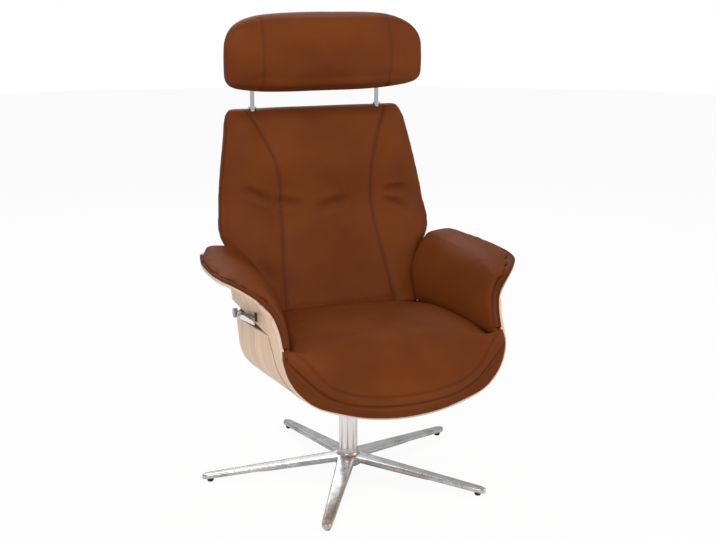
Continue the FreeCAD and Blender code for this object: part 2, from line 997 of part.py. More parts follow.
def rear_panel_outline(gap=0):
    """Side view of the lower rear panel, or with a gap that of the opening it stands in."""
    far = size("section_rear") + size("trim_margin")
    slot_end = size("slot_z") + gap if gap else size("slot_rear_z")
    return across_face(
        [
            (size("slot_front_y") - gap, size("slot_z") + gap),
            (size("panel_front_y") - gap, size("panel_front_z")),
            (size("panel_low_y") - gap, size("panel_low_z")),
            (size("panel_low_y") - gap, size("trim_bottom")),
            (far, size("trim_bottom")),
            (far, slot_end),
            (size("slot_rear_y"), slot_end),
        ],
        2 * size("arm_wide_x"),
    )


def make_shells(shell_screws):
    ply = size("ply")
    outer, inner = bowl(ply), bowl(0)
    seat = outer.cut(inner)
    seat = seat.common(front_trim()).common(plan_trim()).common(arm_front_prism())
    seat = seat.cut(rear_panel_outline(size("seam_gap")))
    feature("seat_shell", seat.cut(shell_screws).removeSplitter())

    rear = outer.common(rear_prism(0)).cut(inner.common(rear_prism(ply)))
    rear = rear.common(rear_panel_outline())
    hole = Part.makeCylinder(size("column_hole"), size("block_bottom"), Vector(0, 0, 0))
    feature("rear_shell", rear.cut(hole).cut(shell_screws).removeSplitter())


# Seat frame


def make_seat_bracket():
    """A folded bracket that rocks on the tilt shaft and carries the rails."""
    steel = size("sheet_steel")
    high = size("bracket_height")
    half = size("bracket_half_width")
    tilt = (size("tilt_y"), size("tilt_z"))
    front, rear = -size("bracket_front"), -size("bracket_rear")
    shape = Part.makeBox(2 * half, rear - front, steel, Vector(-half, front, high))
    outer = size("ear_radius") + size("bush_wall")
    start = size("housing_half_width") + size("side_gap")
    for side in (-1, 1):
        ear = hull_plate(tilt, outer, (tilt[0], high), outer, side * start, side * steel)
        shape = shape.fuse(ear)
    ceiling = Part.makeBox(4 * half, 4 * half, high, Vector(-2 * half, -4 * half, high + steel))
    bore = size("shaft_radius") + size("bush_wall")
    shape = shape.cut(ceiling).cut(x_hole(*tilt, bore, -2 * half, 2 * half))
    for place in rail_bolt_places():
        shape = shape.cut(Part.makeCylinder(size("bolt_radius"), 3 * steel, place))
    feature("seat_bracket", shape.removeSplitter())

    bushes = []
    for side in (-1, 1):
        begin = side * (start - size("bush_proud"))
        end = side * (start + steel + size("bush_proud"))
        bush = x_hole(*tilt, bore, begin, end)
        hole = x_hole(*tilt, size("shaft_radius") + size("running_gap"), begin, end)
        bushes.append(bush.cut(hole))
    feature("tilt_bushes", Part.makeCompound(bushes))


def rail_bolt_places():
    """Bolts from under the bracket into both rails, two to a rail."""
    across = size("bracket_half_width") - 3 * size("bolt_head_radius")
    low = size("bracket_height")
    rows = (size("front_rail_y"), size("rear_rail_y"))
    return [Vector(side * across, y, low) for y in rows for side in (-1, 1)]


def rail_low():
    return size("bracket_height") + size("sheet_steel")


def make_rails():
    """Two square steel tubes from side to side."""
    depth, height, wall = size("rail_depth"), size("rail_height"), size("rail_wall")
    length = 2 * size("rail_half_length")
    for label, key in (("front_rail", "front_rail_y"), ("rear_rail", "rear_rail_y")):
        corner = Vector(-length / 2, size(key) - depth / 2, rail_low())
        inset = Vector(0, wall, wall)
        rail = Part.makeBox(length, depth, height, corner)
        rail = rail.cut(Part.makeBox(length, depth - 2 * wall, height - 2 * wall, corner + inset))
        for place in rail_bolt_places():
            rail = rail.cut(Part.makeCylinder(size("bolt_radius"), size("sheet_steel") * 3, place))
        feature(label, rail)
    bolts = []
    for place in rail_bolt_places():
        under = place - Vector(0, 0, size("bolt_head_height"))
        head = Part.makeCylinder(size("bolt_head_radius"), size("bolt_head_height"), under)
        shank = Part.makeCylinder(size("bolt_radius"), 3 * size("sheet_steel"), place)
        bolts.append(head.fuse(shank))
    feature("rail_bolts", Part.makeCompound(bolts))


def make_corner_blocks():
    """Four wooden blocks glued into the bowl, which the rails' ends rest in."""
    inner = bowl(-size("seat_skin_gap")).common(rear_prism(size("ply")))
    length, width = size("block_length"), size("block_width")
    depth, height = size("rail_depth"), size("rail_height")
    blocks = []
    for key in ("front_rail_y", "rear_rail_y"):
        for side in (-1, 1):
            low = size("block_bottom")
            outer = size("block_inner") + width
            start = size("block_inner") if side > 0 else -outer
            corner = Vector(start, size(key) - length / 2, low)
            block = Part.makeBox(width, length, size("block_top") - low, corner).common(inner)
            reach = 2 * size("rail_half_length")
            slot = Vector(-reach / 2, size(key) - depth / 2, rail_low())
            blocks.append(block.cut(Part.makeBox(reach, depth, height, slot)))
    feature("corner_blocks", Part.makeCompound(blocks))


def board_low():
    return rail_low() + size("rail_height")


def make_seat_board():
    """A plywood board on the rails, notched for the link."""
    front, rear = -size("board_front"), size("board_rear")
    thick = size("board_thickness")
    half = size("seat_half_width")
    board = Part.makeBox(2 * half, rear - front, thick, Vector(-half, front, board_low()))
    fit = 2 * size("seat_skin_gap")
    inner = bowl(-fit).common(rear_prism(size("ply") + fit))
    notch = size("notch_half_width")
    corner = Vector(-notch, -size("notch_front"), board_low() - thick)
    gap = Part.makeBox(2 * notch, rear + size("notch_front"), 3 * thick, corner)
    feature("seat_board", board.common(inner).cut(gap))


def side_outline(across, crown, front, welt):
    """One lengthwise section of the seat cushion: flat base, crowned top, roll and welt."""
    base = board_low() + size("board_thickness")
    rear = size("seat_rear")
    fall = crown - size("seat_crown_1")
    rear_top = size("seat_rear_top") + fall
    swell = size("seat_roll_swell")
    boxing = size("boxing")
    shoulder = Vector(across, size("seat_shoulder_y"), crown - size("seat_shoulder_drop"))
    roll_y = (front + size("seat_shoulder_y")) / 2 - swell
    roll = Vector(across, roll_y, (crown + welt) / 2 + swell)
    welt_point = Vector(across, front, welt)
    lip = Vector(across, front + size("lip_inset"), welt - boxing)
    behind = Vector(across, front + size("lip_depth"), welt - boxing)
    step = Vector(across, front + size("lip_depth"), base)
    return Part.Wire(
        [
            line(Vector(across, rear, base), Vector(across, rear, rear_top)),
            through(
                Vector(across, rear, rear_top), Vector(across, size("seat_mid_y"), crown), shoulder
            ),
            through(shoulder, roll, welt_point),
            through(
                welt_point, Vector(across, front + size("welt_inset"), welt - boxing / 2), lip
            ),
            line(lip, behind),
            line(behind, step),
            line(step, Vector(across, rear, base)),
        ]
    )


def make_seat_cushion(pads, pivot_room):
    words = ("across", "crown", "front", "welt")
    rows = [station("seat", words, number) for number in range(1, len(SEAT_STATIONS) + 1)]
    left = [side_outline(-row[0], *row[1:]) for row in reversed(rows[1:])]
    right = [side_outline(*row) for row in rows]
    cushion = Part.makeLoft(left + right, True, False)
    inside = bowl(-size("seat_skin_gap"))
    over_edge = bowl(size("seat_overhang")).cut(front_trim(-size("edge_gap")))
    notch = size("notch_half_width")
    corner = Vector(-notch, -size("notch_front"), 0)
    room = Part.makeBox(2 * notch, 2 * size("seat_rear"), size("notch_top"), corner)
    cushion = cushion.common(inside.fuse(over_edge)).cut(room)
    for tool in pads:
        cushion = cushion.cut(tool)
    feature("seat_cushion", cushion.cut(pivot_room))


# Arm pads


def arm_section(side, along, low, middle, upper, height):
    """One cross-section of an arm pad, from its inner face to beyond the shell."""
    base = size("pad_bottom")
    far = side * (size("arm_wide_x") + size("pad_overreach"))
    corner = Vector(side * low, along, base)
    face = Vector(side * middle, along, (base + height) / 2 + size("pad_face_rise"))
    top = Vector(side * upper, along, height)
    crest = Vector((side * upper + far) / 2, along, height + size("pad_swell"))
    edge = Vector(far, along, height - size("pad_edge_drop"))
    return Part.Wire(
        [
            line(Vector(far, along, base), corner),
            through(corner, face, top),
            through(top, crest, edge),
            line(edge, Vector(far, along, base)),
        ]
    )


def arm_pad_shape(side, back_front, gap):
    """An arm pad inside the flared shell, cut off in front of the backrest."""
    words = ("along", "low", "middle", "upper", "height")
    wires = []
    for number in range(1, len(ARM_STATIONS) + 1):
        along, low, middle, upper, height = station("arm", words, number)
        wires.append(arm_section(side, along, low - gap, middle - gap, upper - gap, height))
    pad_shape = Part.makeLoft(wires, True, False)
    edge = size("edge_gap")
    pad_shape = pad_shape.common(bowl(-size("seat_skin_gap")))
    pad_shape = pad_shape.common(front_trim(edge)).common(plan_trim(edge)).common(arm_front_prism(edge))
    return pad_shape.cut(back_front)


def make_arm_pads(back_front, pivot_room):
    pads = []
    for side, label in ((1, "arm_pad_left"), (-1, "arm_pad_right")):
        shape = arm_pad_shape(side, back_front, 0).cut(pivot_room)
        feature(label, shape)
        pads.append(arm_pad_shape(side, back_front, size("face_gap")))
    return pads


# Recline pivots


def pivot():
    return (size("pivot_y"), size("pivot_z"))


def pivot_room(side):
    """Space kept free inside a side wall for the bracket and the swinging back arm."""
    outer = size("seat_half_width") + size("ply")
    arm_side = arm_plate_inner() - size("room_gap")
    low = size("plate_bottom") - size("room_gap")
    corner = Vector(arm_side if side > 0 else -outer, -size("room_front"), low)
    length = size("room_front") + size("room_rear")
    slab = Part.makeBox(outer - arm_side, length, size("room_top") - low, corner)
    pin_end = side * size("pivot_room_inner")
    return slab.fuse(x_hole(*pivot(), size("pivot_clearance"), pin_end, side * outer))


def bracket_screw_places():
    """Screws that hold a pivot bracket to both shells."""
    margin = size("plate_screw_margin")
    low, high = size("plate_bottom") + margin, size("plate_top") - margin
    front = -size("plate_front") + margin
    low_rear, high_rear = front + size("low_screw_step"), front + size("high_screw_step")
    return [(front, low), (low_rear, low), (front, high), (high_rear, high)]


def make_pivot_brackets():
    """A steel plate inside each side wall, its pin and its screws."""
    thick = size("bracket_plate")
    outer = size("seat_half_width") - size("seat_skin_gap") / 2
    screws, pins = [], []
    for side, label in ((1, "pivot_bracket_left"), (-1, "pivot_bracket_right")):
        low, high = size("plate_bottom"), size("plate_top")
        front, rear = -size("plate_front"), size("plate_rear")
        outline = [
            (front, low),
            (rear, low),
            (rear, size("pivot_z") + size("arm_boss")),
            (rear - size("plate_slope"), high),
            (front, high),
        ]
        wire = polygon([Vector(side * outer, y, z) for y, z in outline])
        plate = Part.Face(wire).extrude(Vector(-side * thick, 0, 0))
        plate = plate.common(bowl(-size("seat_skin_gap") / 2))
        plate = plate.common(rear_prism(size("ply") + size("seat_skin_gap")))
        plate = plate.cut(x_hole(*pivot(), size("pivot_pin"), 0, side * 2 * outer))
        for y, z in bracket_screw_places():
            plate = plate.cut(x_hole(y, z, size("bolt_radius"), 0, side * 2 * outer))
            head_start = side * (outer - thick)
            head_end = head_start - side * size("screw_head")
            head = x_hole(y, z, size("bolt_head_radius"), head_start, head_end)
            tip = side * (size("seat_half_width") + size("ply") * 3 / 4)
            screws.append(head.fuse(x_hole(y, z, size("bolt_radius"), head_start, tip)))
        if side < 0:
            stub_place = (size("lever_y"), size("lever_z"))
            plate = plate.cut(x_hole(*stub_place, size("lever_stub"), 0, -2 * outer))
        feature(label, plate)
        inner_end = side * (outer - thick - size("disc_thickness") - size("pin_inner_reach"))
        outer_end = side * (outer + size("pin_outer_reach"))
        pin = x_hole(*pivot(), size("pivot_pin"), inner_end, outer_end)
        if side < 0:
            stud_end = -size("knob_inner") - size("knob_cap")
            pin = pin.fuse(x_hole(*pivot(), size("stud_radius"), outer_end, stud_end))
        pins.append(pin)
    feature("bracket_screws", Part.makeCompound(screws))
    feature("pivot_pins", Part.makeCompound(pins))
    stub_end = -size("lever_outer") - size("side_gap")
    stub = x_hole(
        size("lever_y"), size("lever_z"), size("lever_stub"), thick - outer, stub_end
    )
    feature("lever_stub", stub)
    return Part.makeCompound(screws)


def friction_disc_start():
    outer = size("seat_half_width") - size("seat_skin_gap") / 2
    return outer - size("bracket_plate")


def make_friction_discs():
    discs = []
    for side in (-1, 1):
        start = side * friction_disc_start()
        end = start - side * size("disc_thickness")
        disc = x_hole(*pivot(), size("disc_radius"), start, end)
        hole = x_hole(*pivot(), size("pivot_pin") + size("face_gap"), start, end)
        discs.append(disc.cut(hole))
    feature("friction_discs", Part.makeCompound(discs))


# Backrest


def back_circle():
    """Centre and radius, in Y and Z, of the arc that the back panel follows."""
    points = [(size(f"back_curve_{w}_y"), size(f"back_curve_{w}_z")) for w in ("low", "mid", "high")]
    (ay, az), (by, bz), (cy, cz) = points
    d = 2 * (ay * (bz - cz) + by * (cz - az) + cy * (az - bz))
    a2, b2, c2 = ay * ay + az * az, by * by + bz * bz, cy * cy + cz * cz
    centre_y = (a2 * (bz - cz) + b2 * (cz - az) + c2 * (az - bz)) / d
    centre_z = (a2 * (cy - by) + b2 * (ay - cy) + c2 * (by - ay)) / d
    return centre_y, centre_z, math.hypot(ay - centre_y, az - centre_z)


def curve_point(z, offset=0):
    """A point of the back panel's arc at one height, moved out to the rear."""
    centre_y, centre_z, radius = back_circle()
    side = 1 if size("back_curve_mid_y") > centre_y else -1
    reach = radius + side * offset
    return centre_y + side * math.sqrt(reach * reach - (z - centre_z) ** 2)


def back_layer(front_offset, rear_offset, low, high, half_width):
    """A curved sheet that follows the back panel's arc."""
    def rail(offset):
        heights = (low, (low + high) / 2, high)
        return [Vector(-half_width, curve_point(z, offset), z) for z in heights]

    front, rear = rail(front_offset), rail(rear_offset)
    edges = [
        through(*front),
        line(front[2], rear[2]),
        through(*reversed(rear)),
        line(rear[0], front[0]),
    ]
    return Part.Face(Part.Wire(edges)).extrude(Vector(2 * half_width, 0, 0))


def back_outline(inset, low, high):
    """Front view of the backrest as a prism along Y, its corners rounded at the top."""
    words = ("level", "half", "edge", "seam", "inset")
    rows = [station("back", words, number) for number in range(1, len(BACK_STATIONS) + 1)]
    sides = [(half - inset, level) for level, half, *_ in rows if low < level < high]
    chamfer = size("panel_thickness")
    chain = [
        (sides[0][0] - size("panel_inset"), low),
        *sides,
        (sides[-1][0], high - chamfer),
        (sides[-1][0] - chamfer, high),
    ]
    reach = size("section_top")
    right = [Vector(x, -reach, z) for x, z in chain]
    left = [Vector(-x, -reach, z) for x, z in reversed(chain)]
    return Part.Face(polygon(right + left)).extrude(Vector(0, 2 * reach, 0))


def back_front_line(gap):
    """Everything behind the backrest's front, for parts that stop in front of it."""
    words = ("level", "half", "edge", "seam", "inset")
    points = []
    for number in range(1, len(BACK_STATIONS) + 1):
        level, _, edge, _, inset = station("back", words, number)
        points.append((min(edge, inset) - gap, level))
    low = (points[0][0] - size("trim_margin"), size("plate_bottom"))
    far = size("section_top")
    outline = [low, *points, (far, points[-1][1]), (far, low[1])]
    return across_face(outline, 2 * size("arm_wide_x"))


def cushion_section(level, half, edge, seam, inset):
    """A level cross-section of the back cushion, its two seams drawn in."""
    rear = curve_point(level) + size("panel_inset")
    crown = size("back_swell")
    front_edge = edge + size("back_edge_depth")
    wing = half + size("side_gap")
    slim = half - size("rear_taper")
    wing_x = (half + seam) / 2 + crown
    wing_y = (edge + inset - crown) / 2

    def spot(x, y):
        return Vector(x, y, level)

    return Part.Wire(
        [
            line(spot(-slim, rear), spot(slim, rear)),
            through(spot(slim, rear), spot(wing, (rear + front_edge) / 2), spot(half, front_edge)),
            through(
                spot(half, front_edge),
                spot(wing_x, wing_y),
                spot(seam, inset + size("seam_depth")),
            ),
            through(
                spot(seam, inset + size("seam_depth")),
                spot(0, inset - crown / 2),
                spot(-seam, inset + size("seam_depth")),
            ),
            through(
                spot(-seam, inset + size("seam_depth")),
                spot(-wing_x, wing_y),
                spot(-half, front_edge),
            ),
            through(
                spot(-half, front_edge), spot(-wing, (rear + front_edge) / 2), spot(-slim, rear)
            ),
        ]
    )


def rod_places():
    return [(-size("rod_x"), size("rod_y")), (size("rod_x"), size("rod_y"))]


def make_backrest():
    words = ("level", "half", "edge", "seam", "inset")
    rows = [station("back", words, number) for number in range(1, len(BACK_STATIONS) + 1)]
    cushion = Part.makeLoft([cushion_section(*row) for row in rows], True, False)
    low, high = size("panel_low"), size("panel_high")
    thick = size("panel_thickness")
    wide = 2 * size("arm_wide_x")
    below, above = rows[0][0] - size("trim_margin"), rows[-1][0] + size("trim_margin")
    behind = back_layer(0, 4 * thick, below, above, wide)
    cushion = cushion.cut(behind)
    guides = []
    for x, y in rod_places():
        base = Vector(x, y, size("guide_bottom"))
        tube = Part.makeCylinder(size("guide_radius"), size("rod_top") - base.z, base)
        cushion = cushion.cut(tube)
        guides.append((tube, base))
    feature("back_cushion", cushion)

    inset = size("rear_taper")
    panel = back_layer(0, thick, low, high, wide)
    panel = panel.common(back_outline(inset + size("panel_inset"), low, high))
    for tube, _ in guides:
        panel = panel.cut(tube)
    cover_low, cover_high = low - size("cover_overlap"), high + size("cover_overlap") / 2
    cover = back_layer(thick, thick + size("cover_thickness"), cover_low, cover_high, wide)
    feature("back_cover", cover.common(back_outline(inset, cover_low, cover_high)))

    top = cushion.BoundBox.ZMax
    tubes = []
    for tube, base in guides:
        bore = Part.makeCylinder(size("rod_radius") + size("running_gap"), base.z, base)
        length = top - base.z
        tube = Part.makeCylinder(size("guide_radius"), length, base)
        collar = Part.makeCylinder(
            size("collar_radius"), size("collar_height"), Vector(base.x, base.y, top)
        )
        tubes.append(tube.fuse(collar).cut(bore))
    feature("rod_guides", Part.makeCompound(tubes))

    screws = []
    for side in (-1, 1):
        for z in (size("arm_screw_low"), size("arm_screw_high")):
            y = curve_point(z, thick / 2)
            inner = side * (arm_plate_inner() - size("arm_screw_reach"))
            outer = side * (arm_plate_inner() + size("bracket_plate"))
            head_end = outer + side * size("bolt_edge")
            head = x_hole(y, z, size("stud_radius"), outer, head_end)
            screws.append(x_hole(y, z, size("bolt_radius"), inner, outer).fuse(head))
    panel_screws = Part.makeCompound(screws)
    feature("panel_screws", panel_screws)
    feature("back_panel", panel.cut(panel_screws))
    return panel_screws


def arm_plate_inner():
    """Inner face of the back arms' plates, beside the friction discs."""
    plate = size("bracket_plate")
    return friction_disc_start() - size("disc_thickness") - size("face_gap") - plate


def make_back_arms(panel_screws):
    inner = arm_plate_inner()
    plate = size("bracket_plate")
    tip = (size("arm_tip_y"), size("arm_tip_z"))
    bar = (size("crossbar_y"), size("crossbar_z"))
    for side, label in ((1, "back_arm_left"), (-1, "back_arm_right")):
        start, thick = side * inner, side * plate
        upper = hull_plate(
            pivot(), size("arm_boss"), tip, size("arm_tip_radius"), start, thick
        )
        eye = size("crossbar_radius") + size("crossbar_eye")
        lower = hull_plate(pivot(), size("arm_boss"), bar, eye, start, thick)
        shape = upper.fuse(lower)
        bore = size("pivot_pin") + size("running_gap")
        shape = shape.cut(x_hole(*pivot(), bore, 0, 2 * start))
        shape = shape.cut(x_hole(*bar, size("crossbar_radius"), 0, 2 * start))
        feature(label, shape.cut(panel_screws).removeSplitter())
    reach = inner + plate
    bar_solid = x_hole(*bar, size("crossbar_radius"), -reach, reach)
    hollow = x_hole(*bar, size("crossbar_radius") - size("rail_wall"), -reach, reach)
    feature("back_crossbar", bar_solid.cut(hollow))


# Headrest


def make_headrest_rods():
    rods = []
    bar_z = size("rod_top")
    for x, y in rod_places():
        start = Vector(x, y, size("rod_bottom"))
        rods.append(Part.makeCylinder(size("rod_radius"), bar_z - start.z, start))
    feature("headrest_rods", Part.makeCompound(rods))
    reach = size("rod_x") + size("rod_radius") + size("bar_end")
    bar = x_hole(size("rod_y"), bar_z, size("rod_radius") + size("bar_extra"), -reach, reach)
    for upright in rods:
        bar = bar.cut(upright)
    feature("headrest_crossbar", bar)


def head_section(across, front, rear, low, high):
    """One upright section of the headrest pillow, four arcs that swell a little."""
    depth, height = rear - front, high - low
    middle_y, middle_z = (front + rear) / 2, (low + high) / 2
    corners = [
        (front + depth * 0.07, low + height * 0.08),
        (front + depth * 0.12, high - height * 0.09),
        (rear - depth * 0.15, high - height * 0.08),
        (rear - depth * 0.06, low + height * 0.09),
    ]
    swells = [(front, middle_z), (middle_y, high), (rear, middle_z), (middle_y, low)]
    edges = []
    for index, swell in enumerate(swells):
        first, last = corners[index], corners[(index + 1) % len(corners)]
        edges.append(through(*[Vector(across, y, z) for y, z in (first, swell, last)]))
    return Part.Wire(edges)


def make_headrest():
    words = ("across", "front", "rear", "low", "high")
    rows = [station("head", words, number) for number in range(1, len(HEAD_STATIONS) + 1)]
    wires = [head_section(-row[0], *row[1:]) for row in reversed(rows[1:])]
    wires += [head_section(*row) for row in rows]
    pillow = Part.makeLoft(wires, True, False)

    bar = (size("rod_y"), size("rod_top"))
    bar_radius = size("rod_radius") + size("bar_extra")
    core = Part.makeBox(
        2 * size("core_half_width"),
        size("core_thickness"),
        size("core_top") - size("core_bottom"),
        Vector(-size("core_half_width"), size("core_front"), size("core_bottom")),
    )
    clamps = []
    for side in (-1, 1):
        start = side * size("clamp_x") - size("clamp_width") / 2
        clamp = x_hole(*bar, size("clamp_radius"), start, start + size("clamp_width"))
        neck = Part.makeBox(
            size("clamp_width"),
            size("core_thickness"),
            size("core_bottom") - size("rod_top"),
            Vector(start, size("core_front"), size("rod_top")),
        )
        bore = x_hole(*bar, bar_radius + size("running_gap"), 2 * start, 0)
        clamps.append(clamp.fuse(neck).cut(bore))
    feature("headrest_core", core)
    feature("headrest_clamps", Part.makeCompound(clamps))

    pillow = pillow.cut(core)
    for side in (-1, 1):
        start = side * size("clamp_x") - size("clamp_width") / 2
        seat_of_clamp = Part.makeBox(
            size("clamp_width"), 2 * size("clamp_radius"), size("core_bottom") - size("rod_top"),
            Vector(start, size("rod_y") - size("clamp_radius"), size("rod_top")),
        )
        round_seat = x_hole(*bar, size("clamp_radius"), start, start + size("clamp_width"))
        pillow = pillow.cut(seat_of_clamp).cut(round_seat)
    half_width, half_depth = size("rod_pocket_half_width"), size("rod_pocket_half_depth")
    reach = size("rod_x") + half_width
    pillow = pillow.cut(x_hole(*bar, bar_radius + size("bar_extra"), -reach, reach))
    height = size("rod_pocket_height")
    for x, y in rod_places():
        corner = Vector(x - half_width, y - half_depth, size("rod_pocket_top") - height)
        pillow = pillow.cut(Part.makeBox(2 * half_width, 2 * half_depth, height, corner))
    feature("headrest_cushion", pillow)


# Knob and lock lever


def make_knob():
    inner, length = size("knob_inner"), size("knob_length")
    radius = size("knob_radius")
    y, z = pivot()
    knob = x_hole(y, z, radius, -inner, -inner - length)
    for number in range(int(size("knob_flutes"))):
        turn = 2 * math.pi * number / size("knob_flutes")
        flute = (y + radius * math.cos(turn), z + radius * math.sin(turn))
        flute_start = -inner - size("clip_thickness")
        knob = knob.cut(x_hole(*flute, size("flute_radius"), flute_start, -2 * inner))
    bore_end = -inner - size("knob_cap") - size("running_gap")
    bore = x_hole(y, z, size("stud_radius") + size("running_gap"), 0, bore_end)
    feature("tension_knob", knob.cut(bore))


def make_lever():
    inner, outer = size("lever_inner"), size("lever_outer")
    root = (size("lever_y"), size("lever_z"))
    tip = (size("lever_tip_y"), size("lever_tip_z"))
    middle = (inner + outer) / 2
    hub = x_hole(*root, size("lever_hub"), -inner, -outer)
    blade = hull_plate(
        root, size("lever_hub") - 1, tip, size("lever_tip_radius"),
        -middle - size("lever_blade") / 2, size("lever_blade"),
    )
    bore = x_hole(*root, size("lever_stub") + size("running_gap"), 0, -2 * outer)
    start = Vector(-middle, size("handle_root_y"), size("handle_root_z"))
    end = Vector(-middle, size("handle_tip_y"), size("handle_tip_z"))
    along = (end - start).normalize()
    square = Vector(0, -along.z, along.y)
    half_grip = square * (size("grip_length") / 2)
    handle = rod(start, end, size("handle_radius"))
    handle = handle.fuse(rod(end - half_grip, end + half_grip, size("grip_radius")))
    lever = hub.fuse(blade).cut(bore)
    feature("lock_lever", lever.removeSplitter())
    feature("lever_handle", handle.cut(lever))


# The whole chair

fill_sheet()
make_star_base()
make_glides()
make_column()
make_spindle()
make_housing()
make_tilt_shaft()
make_link()
make_link_fork()
make_seat_bracket()
make_rails()
make_corner_blocks()
make_seat_board()
screw_solids = make_pivot_brackets()
make_friction_discs()
make_shells(screw_solids)
room_for_pivots = Part.makeCompound([pivot_room(side) for side in (-1, 1)])
pad_solids = make_arm_pads(back_front_line(size("pad_back_gap")), room_for_pivots)
make_seat_cushion(pad_solids, room_for_pivots)
back_screws = make_backrest()
make_back_arms(back_screws)
make_headrest_rods()
make_headrest()
make_knob()
make_lever()
document.recompute()

INNER_OBJECTS = (
    "Spreadsheet::Sheet",
    "Sketcher::SketchObject",
    "App::Origin",
    "App::Line",
    "App::Plane",
    "App::Point",
)


def sub_parts():
    """The objects that nothing else in the document uses as its material."""
    found = []
    for item in document.Objects:
        if item.TypeId in INNER_OBJECTS or not hasattr(item, "Shape"):
            continue
        if item.Label != item.Label.lower():
            continue
        found.append(item)
    return found


for item in document.Objects:
    for word in ("Invalid", "Error"):
        if word in item.State:
            raise RuntimeError(f"{item.Label} is {item.State}")

os.makedirs("parts", exist_ok=True)
for part in sub_parts():
    if part.Shape.isNull() or not part.Shape.isValid():
        raise RuntimeError(f"{part.Label} has no valid shape")
    if part.Shape.Volume <= 0:
        raise RuntimeError(f"{part.Label} is empty")
    part.Shape.exportStep(f"parts/{part.Label}.step")
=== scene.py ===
import json
import math

import bmesh
import bpy
import numpy as np
from bpy.props import FloatProperty, FloatVectorProperty, IntProperty, PointerProperty
from mathutils import Matrix, Vector, noise
from mathutils.bvhtree import BVHTree
from mathutils.kdtree import KDTree


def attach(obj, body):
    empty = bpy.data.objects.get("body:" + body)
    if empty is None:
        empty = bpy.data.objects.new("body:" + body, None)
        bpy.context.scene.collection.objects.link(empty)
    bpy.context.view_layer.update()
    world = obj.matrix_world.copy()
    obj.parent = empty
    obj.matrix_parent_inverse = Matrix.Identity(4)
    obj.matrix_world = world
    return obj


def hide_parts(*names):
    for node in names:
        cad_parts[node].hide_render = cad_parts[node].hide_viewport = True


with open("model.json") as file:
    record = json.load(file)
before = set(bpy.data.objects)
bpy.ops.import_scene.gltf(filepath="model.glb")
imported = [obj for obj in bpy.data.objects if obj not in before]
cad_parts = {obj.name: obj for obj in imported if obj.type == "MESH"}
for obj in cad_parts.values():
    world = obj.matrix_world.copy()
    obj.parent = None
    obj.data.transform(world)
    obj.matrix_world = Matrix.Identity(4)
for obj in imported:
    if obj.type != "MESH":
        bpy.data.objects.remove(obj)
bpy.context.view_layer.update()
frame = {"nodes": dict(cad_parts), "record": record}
NODES = frame["nodes"]

bl_info = {
    "name": "Star Base Swivel Recliner",
    "version": (1, 0, 0),
    "blender": (4, 5, 0),
    "location": "3D View > Sidebar > Recliner",
    "description": "Dresses the recliner's frame with leather, plywood and polished metal",
    "category": "Add Mesh",
}

MM = 0.001
SETBACK = 15 * MM

# The camera: its place, the point it looks at, and its sensor's width and focal length in mm.
CAMERA_PLACE = Vector((-0.92944, -2.71474, 1.19770))
CAMERA_TARGET = Vector((0.0217, 0.0074, 0.4905))
SENSOR_WIDTH = 36
FOCAL_LENGTH = 65.36
# Brightness of the room, and the share of the floor's own light that the camera sees.
ROOM_LIGHT = 0.46
FLOOR_GLOW = 0.93
# Lamps, all aimed at one place: name, place, width and power.
LAMPS = (
    ("Key lamp", (-1.6, -2.4, 2.9), 1.9, 62),
    ("Side lamp", (2.6, -1.3, 1.9), 1.8, 20),
    ("Back lamp", (0.4, 2.6, 2.4), 1.8, 30),
)
LAMP_TARGET = Vector((0, 0, 0.55))

# Seams of the backrest: height and distance from the middle, from the top down.
BACK_SEAM = ((0.838, 0.170), (0.788, 0.146), (0.721, 0.121), (0.652, 0.112),
             (0.592, 0.113), (0.512, 0.121), (0.400, 0.133))
# Side edge of the backrest: half width, how far back it lies, and height.
BACK_EDGE = ((0.217, 0.259, 0.828), (0.227, 0.235, 0.788), (0.239, 0.215, 0.721),
             (0.251, 0.201, 0.652), (0.257, 0.187, 0.598), (0.253, 0.161, 0.550),
             (0.232, 0.139, 0.512), (0.215, 0.113, 0.470), (0.206, 0.085, 0.428))
# Welt of the seat cushion: distance from the middle, front and height.
SEAT_WELT = ((0.000, -0.351, 0.290), (0.095, -0.347, 0.297), (0.160, -0.339, 0.318),
             (0.208, -0.329, 0.358), (0.238, -0.321, 0.388))
# Inner edge of the plywood at an arm, from the rear round the top and down the front.
ARM_RIM = ((0.324, 0.094, 0.531), (0.332, 0.058, 0.532), (0.341, 0.000, 0.533),
           (0.343, -0.060, 0.533), (0.341, -0.113, 0.533), (0.334, -0.154, 0.532),
           (0.323, -0.182, 0.530), (0.303, -0.211, 0.521), (0.283, -0.231, 0.508),
           (0.268, -0.240, 0.494), (0.256, -0.250, 0.479), (0.249, -0.260, 0.464),
           (0.244, -0.275, 0.441), (0.242, -0.290, 0.415))
# Inner edge of the plywood under the seat's front, from the middle outwards.
FRONT_RIM = ((0.000, -0.344, 0.265), (0.076, -0.342, 0.271), (0.138, -0.337, 0.286),
             (0.183, -0.332, 0.303), (0.214, -0.323, 0.328), (0.232, -0.314, 0.355),
             (0.241, -0.304, 0.386), (0.242, -0.290, 0.412))
# Front seam of an arm pad, from the top down to the seat.
ARM_FRONT = ((0.300, -0.190, 0.528), (0.272, -0.225, 0.502), (0.252, -0.250, 0.470),
             (0.240, -0.268, 0.440), (0.232, -0.276, 0.412))
# Line where the lower shell meets the upper one at a side, from the slot downwards.
SHELL_JOINT = ((0.2503, -0.2060, 0.4170), (0.2503, -0.2150, 0.4090), (0.2503, -0.2330, 0.3935),
               (0.2490, -0.2462, 0.3770), (0.2455, -0.2550, 0.3590), (0.2395, -0.2630, 0.3400),
               (0.2300, -0.2710, 0.3210), (0.2160, -0.2780, 0.3040), (0.1920, -0.2825, 0.2900),
               (0.1500, -0.2822, 0.2750))
JOINT_RADIUS = 0.0007

